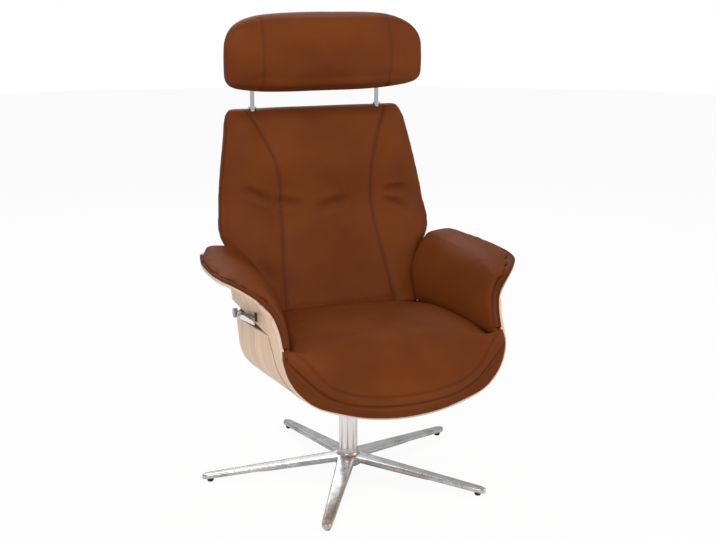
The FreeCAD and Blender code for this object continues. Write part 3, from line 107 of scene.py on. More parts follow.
# Grooves pressed into the leather: width, depth and how dark the shade painted into them is.
GROOVES = {
    "seat welt": (0.004, 0.0026, 1.0),
    "seat topstitching": (0.0035, 0.0012, 0.5),
    "arm boxing": (0.0042, 0.0016, 0.8),
    "arm front": (0.003, 0.0016, 0.9),
    "back seam": (0.0045, 0.0034, 0.55),
    "back edge": (0.0035, 0.0022, 0.8),
    "headrest seam": (0.0032, 0.0018, 0.35),
}
# Creases at the waist: place across and height of both ends, then width, depth and rise.
CREASES = (
    ((-0.205, 0.662), (-0.135, 0.626), 0.010, 0.0040, 0.002),
    ((-0.128, 0.632), (-0.060, 0.618), 0.011, 0.0034, -0.002),
    ((-0.030, 0.604), (0.060, 0.626), 0.012, 0.0036, 0.003),
    ((0.140, 0.640), (0.212, 0.640), 0.009, 0.0040, 0.003),
    ((0.138, 0.618), (0.206, 0.592), 0.009, 0.0036, 0.003),
    ((-0.190, 0.505), (-0.140, 0.452), 0.012, 0.0034, 0.002),
)
# Distance from a seam to the stitches beside it.
BACK_STITCHES = 0.0045
HEADREST_STITCHES = 0.0042
# The headrest's seams: their distance from the middle, and the line they run round.
HEADREST_SEAM = 0.152
HEADREST_CORE = (0.205, 0.972)
# A stitch: half its width, half its height, and how far its middle stands off the leather.
THREAD = (0.00055, 0.0005, 0.0001)

# Just over a plywood sheet's thickness, and a place inside the shells.
THICKEST_PLY = 0.0105
INSIDE = Vector((0, -0.05, 0.75))
# The sheet's bend round the rear: where it starts and its radius.
REAR_BEND, REAR_RADIUS = 0.06, 0.21
# The sheet's bend up the sides: radius, height of its middle and of its top, and its angle.
SIDE_RADIUS, SIDE_MIDDLE, SIDE_TOP, SIDE_ANGLE = 0.24, 0.46, 0.40, 1.33
# Shift of the grain between the chair's two sides.
SIDE_SHIFT = 0.7
# Slant of the grain on the upper and the lower shell.
UPPER_SLANT, LOWER_SLANT = math.radians(32), math.radians(-4)


def color_property(name, description, color):
    return FloatVectorProperty(
        name=name, description=description, subtype="COLOR", size=4, default=(*color, 1.0),
        min=0, max=1,
    )


class ReclinerSettings(bpy.types.PropertyGroup):
    """Sizes and colours of the recliner's dressing."""

    voxel: FloatProperty(
        name="Cushion mesh", description="Size of a cushion's mesh cells before subdivision",
        default=0.0055, unit="LENGTH",
    )
    slack: FloatProperty(
        name="Cushion slack", description="How much smaller a cushion starts before it is filled",
        default=0.0012, unit="LENGTH",
    )
    pressure: FloatProperty(
        name="Filling", description="Pressure while the cushions are filled", default=4.0,
    )
    fill_frames: IntProperty(
        name="Filling steps", description="Steps of the filling simulation", default=10,
    )
    piping_radius: FloatProperty(
        name="Piping", description="Radius of the leather piping", default=0.0026, unit="LENGTH",
    )
    stitch_length: FloatProperty(
        name="Stitch", description="Length of one stitch", default=0.0034, unit="LENGTH",
    )
    stitch_pitch: FloatProperty(
        name="Stitch spacing", description="Distance from stitch to stitch", default=0.0048,
        unit="LENGTH",
    )
    leather_color: color_property("Leather", "Colour of the leather", (0.186, 0.0455, 0.0090))
    leather_shade: color_property(
        "Leather shade", "Colour of the darker patches of the leather", (0.148, 0.0335, 0.0070)
    )
    thread_color: color_property("Thread", "Colour of the stitching", (0.105, 0.032, 0.012))
    veneer_light: color_property("Veneer", "Light colour of the veneer", (0.93, 0.665, 0.470))
    veneer_dark: color_property(
        "Veneer grain", "Dark colour of the veneer's grain", (0.74, 0.485, 0.320)
    )


# Objects and meshes


def settings():
    return bpy.context.scene.recliner


def add_object(name, mesh):
    piece = bpy.data.objects.new(name, mesh)
    bpy.context.scene.collection.objects.link(piece)
    return piece


def object_from(name, work):
    mesh = bpy.data.meshes.new(name)
    work.to_mesh(mesh)
    work.free()
    return add_object(name, mesh)


def node_copy(node):
    """A frame node's mesh as one connected surface."""
    work = bmesh.new()
    work.from_mesh(NODES[node].data)
    bmesh.ops.remove_doubles(work, verts=work.verts, dist=1e-5)
    return work


def places_of(piece):
    """Every vertex's place, as rows of an array."""
    flat = np.empty(3 * len(piece.data.vertices), np.float32)
    piece.data.vertices.foreach_get("co", flat)
    return flat.reshape(-1, 3)


def put_places(piece, places):
    piece.data.vertices.foreach_set("co", places.astype(np.float32).ravel())
    piece.data.update()


def normals_of(piece):
    flat = np.empty(3 * len(piece.data.vertices), np.float32)
    piece.data.vertex_normals.foreach_get("vector", flat)
    return flat.reshape(-1, 3)


def push(piece, distances):
    """Move every vertex along its normal, all by one distance or each by its own."""
    moves = normals_of(piece) * np.asarray(distances, np.float32).reshape(-1, 1)
    put_places(piece, places_of(piece) + moves)


def bake_modifiers(piece):
    """Give the piece the mesh that its modifiers make."""
    graph = bpy.context.evaluated_depsgraph_get()
    mesh = bpy.data.meshes.new_from_object(piece.evaluated_get(graph))
    piece.modifiers.clear()
    old = piece.data
    piece.data = mesh
    mesh.name = old.name
    bpy.data.meshes.remove(old)


def shade_smooth(piece, angle=math.pi):
    """Smooth shading, but for edges that bend by more than the angle."""
    piece.data.polygons.foreach_set("use_smooth", [True] * len(piece.data.polygons))
    if angle < math.pi:
        sharp = [False] * len(piece.data.edges)
        work = bmesh.new()
        work.from_mesh(piece.data)
        for edge in work.edges:
            if len(edge.link_faces) == 2 and edge.calc_face_angle() > angle:
                sharp[edge.index] = True
        work.free()
        layers = piece.data.attributes
        layer = layers.get("sharp_edge") or layers.new("sharp_edge", "BOOLEAN", "EDGE")
        layer.data.foreach_set("value", sharp)


def dress(piece, look, body, nodes=()):
    """Finish a piece: its material, the body it moves with and the nodes it stands for."""
    if not piece.data.materials:
        piece.data.materials.append(material_named(look))
    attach(piece, body)
    if nodes:
        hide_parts(*nodes)


def aim(item, place, target):
    """Put a camera or a lamp at its place and turn it to its target."""
    item.location = place
    item.rotation_mode = "QUATERNION"
    item.rotation_quaternion = (target - item.location).to_track_quat("-Z", "Y")


# Curves on surfaces


def on_side(side, points, shift=(0, 0, 0)):
    """Points given for the chair's left, shifted and then put on its left (1) or right (-1)."""
    return [
        Vector((side * (x + shift[0]), y + shift[1], z + shift[2])) for x, y, z in points
    ]


def both_sides(points):
    """The whole line from right to left, from its left half given from the middle outwards."""
    half = [Vector(point) for point in points]
    return [Vector((-p.x, p.y, p.z)) for p in reversed(half[1:])] + half


def smooth_line(points, spacing=0.002):
    """A smooth line through a few points, cut into short even steps."""
    ends = [points[0] * 2 - points[1], *points, points[-1] * 2 - points[-2]]
    line = []
    for before, first, last, after in zip(ends, ends[1:], ends[2:], ends[3:]):
        count = max(2, round((last - first).length / spacing))
        for step in range(count):
            t = step / count
            line.append(
                0.5 * (2 * first + (last - before) * t
                       + (2 * before - 5 * first + 4 * last - after) * t * t
                       + (3 * first - before - 3 * last + after) * t ** 3)
            )
    line.append(points[-1].copy())
    return line


def surface_of(piece):
    return BVHTree.FromPolygons(
        [v.co for v in piece.data.vertices], [p.vertices for p in piece.data.polygons]
    )


def laid_on(surface, points):
    """The points moved onto a surface and evened out, each with the surface's normal."""
    found = [surface.find_nearest(point) for point in points]
    places = [place for place, _, _, _ in found]
    for _ in range(3):
        inner = [(a + 2 * b + c) / 4 for a, b, c in zip(places, places[1:], places[2:])]
        places = [places[0], *inner, places[-1]]
    return [(place, normal) for place, (_, normal, _, _) in zip(places, found)]


def seam_on(surface, points):
    """A smooth line through a few points, laid on a surface."""
    return laid_on(surface, smooth_line(points))


def nearest_on(piece, points):
    """For every vertex, the nearest of the points and how far away it is."""
    tree = KDTree(len(points))
    for index, point in enumerate(points):
        tree.insert(point, index)
    tree.balance()
    found = [tree.find(place) for place in places_of(piece)]
    return np.array([f[1] for f in found]), np.array([f[2] for f in found])


def mark_seam_shade(piece, values):
    """Raise the seam attribute, which paints shade into the leather's grooves and creases, to the
    given values where they are higher.
    """
    attributes = piece.data.attributes
    layer = attributes.get("seam") or attributes.new("seam", "FLOAT", "POINT")
    held = np.empty(len(values), np.float32)
    layer.data.foreach_get("value", held)
    layer.data.foreach_set("value", np.maximum(held, values).astype(np.float32))


def loft(work, sections):
    """Join rings of corners into one closed skin."""
    rings = []
    for corners in sections:
        verts = [work.verts.new(corner) for corner in corners]
        rings.append([work.edges.new(pair) for pair in zip(verts, verts[1:] + verts[:1])])
    for first, last in zip(rings, rings[1:]):
        bmesh.ops.bridge_loops(work, edges=first + last)
    for end in (rings[0], rings[-1]):
        bmesh.ops.contextual_create(work, geom=end)


def strip(name, sections):
    """A closed band of leather through its sections."""
    work = bmesh.new()
    loft(work, sections)
    bmesh.ops.recalc_face_normals(work, faces=work.faces)
    piece = object_from(name, work)
    shade_smooth(piece, math.radians(60))
    return piece


def draw_out(piece, axis, start, full, move, floor=-1.0):
    """Shift the vertices past a level, more the further past it, and none below the floor."""
    fade = 0.014
    places = places_of(piece)
    share = np.clip((places[:, "xyz".index(axis)] - start) / (full - start), 0, 1)
    share = share * share * (3 - 2 * share)
    share *= np.clip((places[:, 2] - floor) / fade, 0, 1)
    put_places(piece, places + share.reshape(-1, 1) * np.array(move))


def press_line(piece, line, groove):
    """Press a soft groove along a line and paint shade into it through the seam attribute."""
    width, depth, darkness = GROOVES[groove]
    _, distance = nearest_on(piece, [place for place, _ in line])
    push(piece, -depth * np.exp(-(distance / width) ** 2))
    # Paint shade along the groove.
    mark_seam_shade(piece, darkness * np.exp(-(distance / (0.7 * width)) ** 2))


def tube(name, points, radius):
    """A round cord through the points, as a mesh."""
    curve = bpy.data.curves.new(name, "CURVE")
    curve.dimensions = "3D"
    curve.bevel_depth = radius
    curve.bevel_resolution = 3
    curve.use_fill_caps = True
    spline = curve.splines.new("POLY")
    spline.points.add(len(points) - 1)
    for target, point in zip(spline.points, points):
        target.co = (*point, 1)
    holder = add_object(name, curve)
    graph = bpy.context.evaluated_depsgraph_get()
    mesh = bpy.data.meshes.new_from_object(holder.evaluated_get(graph))
    bpy.data.objects.remove(holder)
    mesh.name = name
    piece = add_object(name, mesh)
    shade_smooth(piece)
    return piece


def stitches(name, lines):
    """Short threads along lines of places and normals."""
    pitch, length = settings().stitch_pitch, settings().stitch_length
    half_width, half_height, lift = THREAD
    work = bmesh.new()
    for line in lines:
        travelled, next_stitch = 0.0, pitch
        for (first, normal), (last, _) in zip(line, line[1:]):
            step = last - first
            travelled += step.length
            if travelled < next_stitch or step.length < 1e-9:
                continue
            next_stitch += pitch
            along = step.normalized()
            side = along.cross(normal).normalized()
            turn = Matrix((along, side, normal)).transposed().to_4x4()
            size = Matrix.Diagonal((length / 2, half_width, half_height, 1))
            bmesh.ops.create_icosphere(
                work, subdivisions=1, radius=1,
                matrix=Matrix.Translation(last + normal * lift) @ turn @ size,
            )
    piece = object_from(name, work)
    shade_smooth(piece)
    return piece


def offset_line(line, distance):
    """A line beside another on the same surface."""
    moved = []
    for index, (place, normal) in enumerate(line):
        before = line[max(index - 1, 0)][0]
        after = line[min(index + 1, len(line) - 1)][0]
        side = (after - before).cross(normal).normalized()
        moved.append(place + side * distance)
    return moved


# Filled cushions


def relax(piece, rounds):
    """Even out the mesh and round its edges."""
    work = bmesh.new()
    work.from_mesh(piece.data)
    for _ in range(rounds):
        bmesh.ops.smooth_vert(
            work, verts=work.verts, factor=0.5,
            use_axis_x=True, use_axis_y=True, use_axis_z=True,
        )
    work.to_mesh(piece.data)
    work.free()
    piece.data.update()


def fill_with_foam(piece, most):
    """Swell the cover like a filled cushion, each point by at most the given distance."""
    values = settings()
    start, normals = places_of(piece), normals_of(piece)
    cloth = piece.modifiers.new("Cover", "CLOTH")
    cloth.settings.quality = 3
    cloth.settings.use_pressure = True
    cloth.settings.uniform_pressure_force = values.pressure
    cloth.settings.effector_weights.gravity = 0
    cloth.settings.tension_stiffness = 15
    cloth.settings.compression_stiffness = 15
    cloth.settings.bending_stiffness = 0.5
    cloth.point_cache.frame_start = 1
    cloth.point_cache.frame_end = values.fill_frames
    scene = bpy.context.scene
    for number in range(1, values.fill_frames + 1):
        scene.frame_set(number)
    bake_modifiers(piece)
    scene.frame_set(1)
    moves = places_of(piece) - start
    inward = np.minimum((moves * normals).sum(axis=1, keepdims=True), 0)
    moves -= normals * inward
    lengths = np.maximum(np.linalg.norm(moves, axis=1, keepdims=True), 1e-9)
    put_places(piece, start + moves * np.minimum(1.0, most / lengths))


def cushion(name, node, rounding):
    """A filled leather cushion in the space of a frame node."""
    values = settings()
    piece = object_from(name, node_copy(node))
    modifier = piece.modifiers.new("Remesh", "REMESH")
    modifier.mode = "VOXEL"
    modifier.voxel_size = values.voxel
    bake_modifiers(piece)
    relax(piece, rounding)
    push(piece, -values.slack)
    fill_with_foam(piece, 4 * values.slack)
    relax(piece, 2)
    modifier = piece.modifiers.new("Smooth", "SUBSURF")
    modifier.levels = modifier.render_levels = 1
    bake_modifiers(piece)
    return piece


def soften(piece, scale, depth, seed):
    """Slow shallow waves, as in leather over foam."""
    shift = Vector((seed, seed * 0.7, seed * 1.3))
    waves = [noise.noise(Vector(place) * scale + shift) for place in places_of(piece)]
    push(piece, depth * np.array(waves))


def wrinkle(piece, first, last, width, depth, rise):
    """One crease in the leather from one place to another, deepest in its middle, with shade
    painted into it.
    """
    middle = (first + last) / 2 + Vector((0, 0, rise))
    line = [place for place, _ in seam_on(surface_of(piece), [first, middle, last])]
    index, distance = nearest_on(piece, line)
    share = np.abs(np.sin(math.pi * index / (len(line) - 1))) ** 0.7
    ratio = distance / width
    ridge = np.exp(-ratio ** 2) - 0.45 * np.exp(-((ratio - 1.7) / 0.8) ** 2)
    push(piece, -depth * share * ridge * (ratio < 3))
    # Paint shade into the crease.
    mark_seam_shade(piece, 0.28 * share * np.exp(-ratio ** 2))


# Materials


EVEN = (1, 1, 1)
# Colour of the painted shade in the leather's grooves, creases, piping and boxing.
SEAM_SHADE_COLOR = (0.022, 0.008, 0.004, 1.0)
PORE_COLOR = (0.34, 0.21, 0.13, 1.0)
PLY_LAYERS = 7
PLY_LIGHT = (0.90, 0.68, 0.54, 1)
PLY_DARK = (0.76, 0.52, 0.40, 1)
PLY_SPECK = (0.62, 0.42, 0.31, 1)


def new_material(name):
    material = bpy.data.materials.new(name)
    material.use_nodes = True
    tree = material.node_tree
    return material, tree, tree.nodes["Principled BSDF"]


def group_tree(name, inputs, outputs):
    tree = bpy.data.node_groups.new(name, "ShaderNodeTree")
    for label, kind, default in inputs:
        socket = tree.interface.new_socket(label, in_out="INPUT", socket_type="NodeSocket" + kind)
        socket.default_value = default
    for label, kind in outputs:
        tree.interface.new_socket(label, in_out="OUTPUT", socket_type="NodeSocket" + kind)
    return tree, tree.nodes.new("NodeGroupInput"), tree.nodes.new("NodeGroupOutput")


def fill_inputs(node, **values):
    for label, value in values.items():
        node.inputs[label.replace("_", " ")].default_value = value
    return node


def place_group(tree, group, **values):
    node = tree.nodes.new("ShaderNodeGroup")
    node.node_tree = group
    return fill_inputs(node, **values)


def shared_group(name, make):
    """A node group, made when it is first asked for."""
    return bpy.data.node_groups.get(name) or make()


def mapped_noise(tree, coordinates, stretch, scale, detail, roughness=0.5):
    """A noise pattern that is stretched by a factor along each axis."""
    mapping = fill_inputs(tree.nodes.new("ShaderNodeMapping"), Scale=stretch)
    tree.links.new(coordinates, mapping.inputs["Vector"])
    pattern = tree.nodes.new("ShaderNodeTexNoise")
    fill_inputs(pattern, Scale=scale, Detail=detail, Roughness=roughness)
    tree.links.new(mapping.outputs["Vector"], pattern.inputs["Vector"])
    return pattern.outputs["Fac"]


def between(tree, factor, low, high, first, last):
    """A value remapped from one span to another."""
    remap = tree.nodes.new("ShaderNodeMapRange")
    fill_inputs(remap, From_Min=low, From_Max=high, To_Min=first, To_Max=last)
    tree.links.new(factor, remap.inputs["Value"])
    return remap.outputs["Result"]


def feed(tree, value, socket):
    """Link an output to a socket, or give the socket a plain value."""
    if hasattr(value, "is_output"):
        tree.links.new(value, socket)
    else:
        socket.default_value = value


def blend_colors(tree, factor, first, last):
    mix = tree.nodes.new("ShaderNodeMix")
    mix.data_type = "RGBA"
    for value, name in ((first, "A"), (last, "B")):
        feed(tree, value, [s for s in mix.inputs if s.name == name and s.type == "RGBA"][0])
    tree.links.new(factor, mix.inputs["Factor"])
    return [s for s in mix.outputs if s.type == "RGBA"][0]


def math_node(tree, operation, first, last):
    node = tree.nodes.new("ShaderNodeMath")
    node.operation = operation
    feed(tree, first, node.inputs[0])
    feed(tree, last, node.inputs[1])
    return node.outputs[0]


def mix_surfaces(tree, factor, first, last, output):
    """Blend two shaders by a factor and send them to the output."""
    mix = tree.nodes.new("ShaderNodeMixShader")
    for source, socket in zip((factor, first, last), mix.inputs):
        tree.links.new(source, socket)
    tree.links.new(mix.outputs["Shader"], tree.nodes[output].inputs["Surface"])


def add_bump(tree, shader, height, strength, distance=0.0002):
    bump = fill_inputs(tree.nodes.new("ShaderNodeBump"), Strength=strength, Distance=distance)
    tree.links.new(height, bump.inputs["Height"])
    tree.links.new(bump.outputs["Normal"], shader.inputs["Normal"])


def leather_group():
    """Pebbled grain, its pores and the slow tone changes of a hide."""
    tree, inlet, outlet = group_tree(
        "Leather hide",
        [("Grain Scale", "Float", 620.0)],
        [("Height", "Float"), ("Tone", "Float"), ("Gloss", "Float")],
    )
    place = tree.nodes.new("ShaderNodeTexCoord").outputs["Object"]
    cells = tree.nodes.new("ShaderNodeTexVoronoi")
    cells.feature = "SMOOTH_F1"
    tree.links.new(place, cells.inputs["Vector"])
    tree.links.new(inlet.outputs["Grain Scale"], cells.inputs["Scale"])
    pores = mapped_noise(tree, place, EVEN, 1500, 3.0, 0.6)
    pebble = between(tree, cells.outputs["Distance"], 0.0, 0.75, 1.0, 0.0)
    pits = math_node(tree, "MULTIPLY", pores, 0.35)
    height = math_node(tree, "ADD", pebble, pits)
    tree.links.new(height, outlet.inputs["Height"])
    slow = mapped_noise(tree, place, EVEN, 5.5, 3.0, 0.55)
    tree.links.new(between(tree, slow, 0.36, 0.64, 0.0, 1.0), outlet.inputs["Tone"])
    tree.links.new(between(tree, pores, 0.3, 0.7, 0.52, 0.66), outlet.inputs["Gloss"])
    return tree


def leather_material(name, all_over_shade):
    values = settings()
    material, tree, shader = new_material(name)
    hide = place_group(tree, shared_group("Leather hide", leather_group))
    color = blend_colors(
        tree, hide.outputs["Tone"], tuple(values.leather_shade), tuple(values.leather_color)
    )
    # The seam attribute paints shade into grooves and creases, blending toward the shade colour.
    seam = tree.nodes.new("ShaderNodeAttribute")
    seam.attribute_name = "seam"
    # Painted shade over the whole leather, and more where the seam attribute is high, in grooves
    # and creases.
    painted_shade = between(tree, seam.outputs["Fac"], 0.0, 1.0, all_over_shade, 0.6)
    color = blend_colors(tree, painted_shade, color, SEAM_SHADE_COLOR)
    tree.links.new(color, shader.inputs["Base Color"])
    tree.links.new(hide.outputs["Gloss"], shader.inputs["Roughness"])
    shader.inputs["Specular IOR Level"].default_value = 0.08
    add_bump(tree, shader, hide.outputs["Height"], 0.22, 0.0005)
    return material


def veneer_group():
    """Wood grain on a sheet, read from across and along coordinates."""
    tree, inlet, outlet = group_tree(
        "Veneer grain",
        [("Sheet", "Vector", (0, 0, 0)),
         ("Light", "Color", (1, 1, 1, 1)),
         ("Dark", "Color", (0, 0, 0, 1))],
        [("Color", "Color"), ("Height", "Float"), ("Gloss", "Float")],
    )
    sheet = inlet.outputs["Sheet"]
    waves = mapped_noise(tree, sheet, (1.0, 0.09, 1.0), 26, 3.0, 0.55)
    lines = mapped_noise(tree, sheet, (1.0, 0.035, 1.0), 210, 4.0, 0.65)
    pores = mapped_noise(tree, sheet, (1.0, 0.02, 1.0), 900, 2.0, 0.6)
    broad = between(tree, waves, 0.36, 0.66, 0.0, 0.9)
    fine = between(tree, lines, 0.45, 0.75, 0.0, 0.55)
    mask = math_node(tree, "ADD", broad, fine)
    color = blend_colors(tree, mask, inlet.outputs["Light"], inlet.outputs["Dark"])
    pore_mask = between(tree, pores, 0.60, 0.72, 0.0, 0.35)
    color = blend_colors(tree, pore_mask, color, PORE_COLOR)
    tree.links.new(color, outlet.inputs["Color"])
    tree.links.new(between(tree, pores, 0.58, 0.72, 1.0, 0.0), outlet.inputs["Height"])
    tree.links.new(between(tree, lines, 0.3, 0.7, 0.36, 0.48), outlet.inputs["Gloss"])
    return tree


def veneer_material(name):
    values = settings()
    material, tree, shader = new_material(name)
    sheet = tree.nodes.new("ShaderNodeAttribute")
    sheet.attribute_name = "sheet"
    grain = place_group(
        tree, shared_group("Veneer grain", veneer_group),
        Light=tuple(values.veneer_light), Dark=tuple(values.veneer_dark),
    )
    tree.links.new(sheet.outputs["Vector"], grain.inputs["Sheet"])
    tree.links.new(grain.outputs["Color"], shader.inputs["Base Color"])
    tree.links.new(grain.outputs["Gloss"], shader.inputs["Roughness"])
    add_bump(tree, shader, grain.outputs["Height"], 0.12)
    return material


def ply_edge_material(name):
    """Cut edge of the plywood, with every other layer end grain."""
    material, tree, shader = new_material(name)
    depth = tree.nodes.new("ShaderNodeAttribute")
    depth.attribute_name = "layer"
    place = tree.nodes.new("ShaderNodeTexCoord").outputs["Object"]
    wander = mapped_noise(tree, place, EVEN, 40, 2.0)
    layers = math_node(tree, "MULTIPLY", depth.outputs["Fac"], PLY_LAYERS / 2)
    bends = math_node(tree, "MULTIPLY", wander, 0.12)
    shifted = math_node(tree, "ADD", layers, bends)
    cycle = math_node(tree, "FRACT", shifted, 0.0)
    band = between(tree, cycle, 0.44, 0.56, 0.0, 1.0)
    speckle = mapped_noise(tree, place, EVEN, 700, 3.0)
    color = blend_colors(tree, band, PLY_LIGHT, PLY_DARK)
    specks = between(tree, speckle, 0.5, 0.8, 0.0, 0.35)
    color = blend_colors(tree, specks, color, PLY_SPECK)
    tree.links.new(color, shader.inputs["Base Color"])
    tree.links.new(between(tree, speckle, 0.3, 0.7, 0.45, 0.6), shader.inputs["Roughness"])
    add_bump(tree, shader, band, 0.15)
    return material


def finish_group():
    """Small uneven patches and fine scratches that every hard finish shares."""
    tree, inlet, outlet = group_tree(
        "Hard finish",
        [("Color", "Color", (0.5, 0.5, 0.5, 1)),
         ("Tint", "Color", (0.4, 0.4, 0.4, 1)),
         ("Rough Low", "Float", 0.2),
         ("Rough High", "Float", 0.3),
         ("Speck Scale", "Float", 300.0)],
        [("Color", "Color"), ("Roughness", "Float"), ("Height", "Float")],
    )
    place = tree.nodes.new("ShaderNodeTexCoord").outputs["Object"]
    patches = mapped_noise(tree, place, EVEN, 24, 4.0, 0.6)
    specks = tree.nodes.new("ShaderNodeTexNoise")
    specks.inputs["Detail"].default_value = 3
    tree.links.new(place, specks.inputs["Vector"])
    tree.links.new(inlet.outputs["Speck Scale"], specks.inputs["Scale"])
    mask = between(tree, patches, 0.4, 0.7, 0.0, 1.0)
    tree.links.new(
        blend_colors(tree, mask, inlet.outputs["Color"], inlet.outputs["Tint"]),
        outlet.inputs["Color"],
    )
    remap = tree.nodes.new("ShaderNodeMapRange")
    tree.links.new(patches, remap.inputs["Value"])
    tree.links.new(inlet.outputs["Rough Low"], remap.inputs["To Min"])
    tree.links.new(inlet.outputs["Rough High"], remap.inputs["To Max"])
    tree.links.new(remap.outputs["Result"], outlet.inputs["Roughness"])
    tree.links.new(specks.outputs["Fac"], outlet.inputs["Height"])
    return tree


def hard_material(name, color, tint, rough, metallic, specks, bump):
    material, tree, shader = new_material(name)
    finish = place_group(
        tree, shared_group("Hard finish", finish_group), Color=(*color, 1), Tint=(*tint, 1),
        Rough_Low=rough[0], Rough_High=rough[1], Speck_Scale=specks,
    )
    tree.links.new(finish.outputs["Color"], shader.inputs["Base Color"])
    tree.links.new(finish.outputs["Roughness"], shader.inputs["Roughness"])
    shader.inputs["Metallic"].default_value = metallic
    add_bump(tree, shader, finish.outputs["Height"], bump)
    return material


# Every hard finish: colour, tint, roughness span, metallic, speck scale and bump.
HARD_FINISHES = {
    "Polished aluminium": ((0.64, 0.645, 0.65), (0.36, 0.36, 0.36), (0.18, 0.34), 1.0, 260, 0.12),
    "Chrome": ((0.88, 0.88, 0.90), (0.84, 0.84, 0.86), (0.06, 0.12), 1.0, 300, 0.01),
    "Zinc steel": ((0.62, 0.63, 0.65), (0.52, 0.53, 0.55), (0.28, 0.42), 1.0, 500, 0.05),
    "Fastener steel": ((0.55, 0.56, 0.58), (0.45, 0.46, 0.48), (0.3, 0.45), 1.0, 700, 0.05),
    "Black powder coat": (
        (0.018, 0.018, 0.02), (0.028, 0.028, 0.03), (0.42, 0.58), 0.0, 1400, 0.25,
    ),
    "Black nylon": ((0.014, 0.014, 0.015), (0.022, 0.022, 0.023), (0.35, 0.5), 0.0, 900, 0.12),
    "Satin grey metal": ((0.50, 0.51, 0.52), (0.42, 0.43, 0.44), (0.24, 0.36), 0.9, 600, 0.05),
    "Natural acetal": ((0.74, 0.72, 0.66), (0.68, 0.66, 0.60), (0.35, 0.5), 0.0, 500, 0.05),
    "Joint shadow": ((0.16, 0.075, 0.04), (0.10, 0.05, 0.03), (0.6, 0.75), 0.0, 900, 0.2),
    "Birch plywood": ((0.62, 0.46, 0.30), (0.52, 0.37, 0.23), (0.5, 0.65), 0.0, 350, 0.12),
}
NODE_FINISHES = {
    "chromed_steel": "Chrome",
    "zinc_steel": "Zinc steel",
    "fasteners": "Fastener steel",
    "black_steel": "Black powder coat",
    "black_plastic": "Black nylon",
    "grey_plastic": "Satin grey metal",
    "bearing_plastic": "Natural acetal",
    "inner_plywood": "Birch plywood",
    "polished_aluminium": "Polished aluminium",
}
# How much painted shade darkens each leather all over: the piping and boxing leathers are shaded
# copies of the leather, for the recesses they sit in.
LEATHERS = {"Leather": 0.0, "Piping leather": 0.45, "Boxing leather": 0.18}
# Nodes that leather wraps.
WRAPPED_NODES = {"back_panel": "Boxing leather"}


def material_named(name):
    """A finished material, made when it is first asked for."""
    found = bpy.data.materials.get(name)
    if found is not None:
        return found
    if name in HARD_FINISHES:
        return hard_material(name, *HARD_FINISHES[name])
    if name in LEATHERS:
        return leather_material(name, LEATHERS[name])
    if name == "Thread":
        color = tuple(settings().thread_color)[:3]
        tint = tuple(0.7 * c for c in color)
        return hard_material(name, color, tint, (0.6, 0.75), 0.0, 1500, 0.3)
    if name == "Veneer":
        return veneer_material(name)
    if name == "Plywood edge":
        return ply_edge_material(name)
    raise ValueError(f"there is no finish called {name}")


# Plywood


def sheet_coordinates(place):
    """Across and along the grain on the bent sheet, and the shift of the place's side."""
    x, y, z = place
    across = y
    if y > REAR_BEND:
        across = REAR_BEND + REAR_RADIUS * math.atan2(y - REAR_BEND, max(abs(x), 1e-6))
    if z < SIDE_TOP:
        along = SIDE_RADIUS * math.atan2(abs(x), SIDE_MIDDLE - z)
    else:
        along = SIDE_RADIUS * SIDE_ANGLE + (z - SIDE_TOP)
    return across, along, SIDE_SHIFT if x > 0 else 0.0


def plywood_shell(name, node, slant):
    """A bent plywood sheet with slanting grain, its layers showing where it is cut."""
    work = node_copy(node)
    bmesh.ops.dissolve_limit(
        work, angle_limit=math.radians(0.05), verts=work.verts, edges=work.edges
    )
    bmesh.ops.triangulate(work, faces=work.faces)
    surface = BVHTree.FromBMesh(work)
    layer = work.verts.layers.float.new("layer")
    sheet = work.verts.layers.float_vector.new("sheet")
    outside = set()
    for face in work.faces:
        place = face.calc_center_median()
        _, _, _, through = surface.ray_cast(place - face.normal * 1e-4, -face.normal)
        broad = through is not None and through < THICKEST_PLY
        face.material_index = 0 if broad else 1
        if broad and face.normal.dot(place - INSIDE) > 0:
            outside.update(v.index for v in face.verts)
    work.verts.ensure_lookup_table()
    for vertex in work.verts:
        vertex[layer] = 1.0 if vertex.index in outside else 0.0
        across, along, side = sheet_coordinates(vertex.co)
        vertex[sheet] = Vector((
            across * math.cos(slant) - along * math.sin(slant) + side,
            across * math.sin(slant) + along * math.cos(slant),
            side,
        ))
    piece = object_from(name, work)
    for look in ("Veneer", "Plywood edge"):
        piece.data.materials.append(material_named(look))
    shade_smooth(piece, math.radians(28))
    return piece


# Operators, one for each piece or group of pieces


FIRST_LEG = math.radians(171.3)
SIDES = ((1, "left"), (-1, "right"))


class PieceOperator:
    """What every piece's operator shares."""

    bl_options = {"REGISTER", "UNDO"}

    def execute(self, context):
        self.make(context)
        return {"FINISHED"}


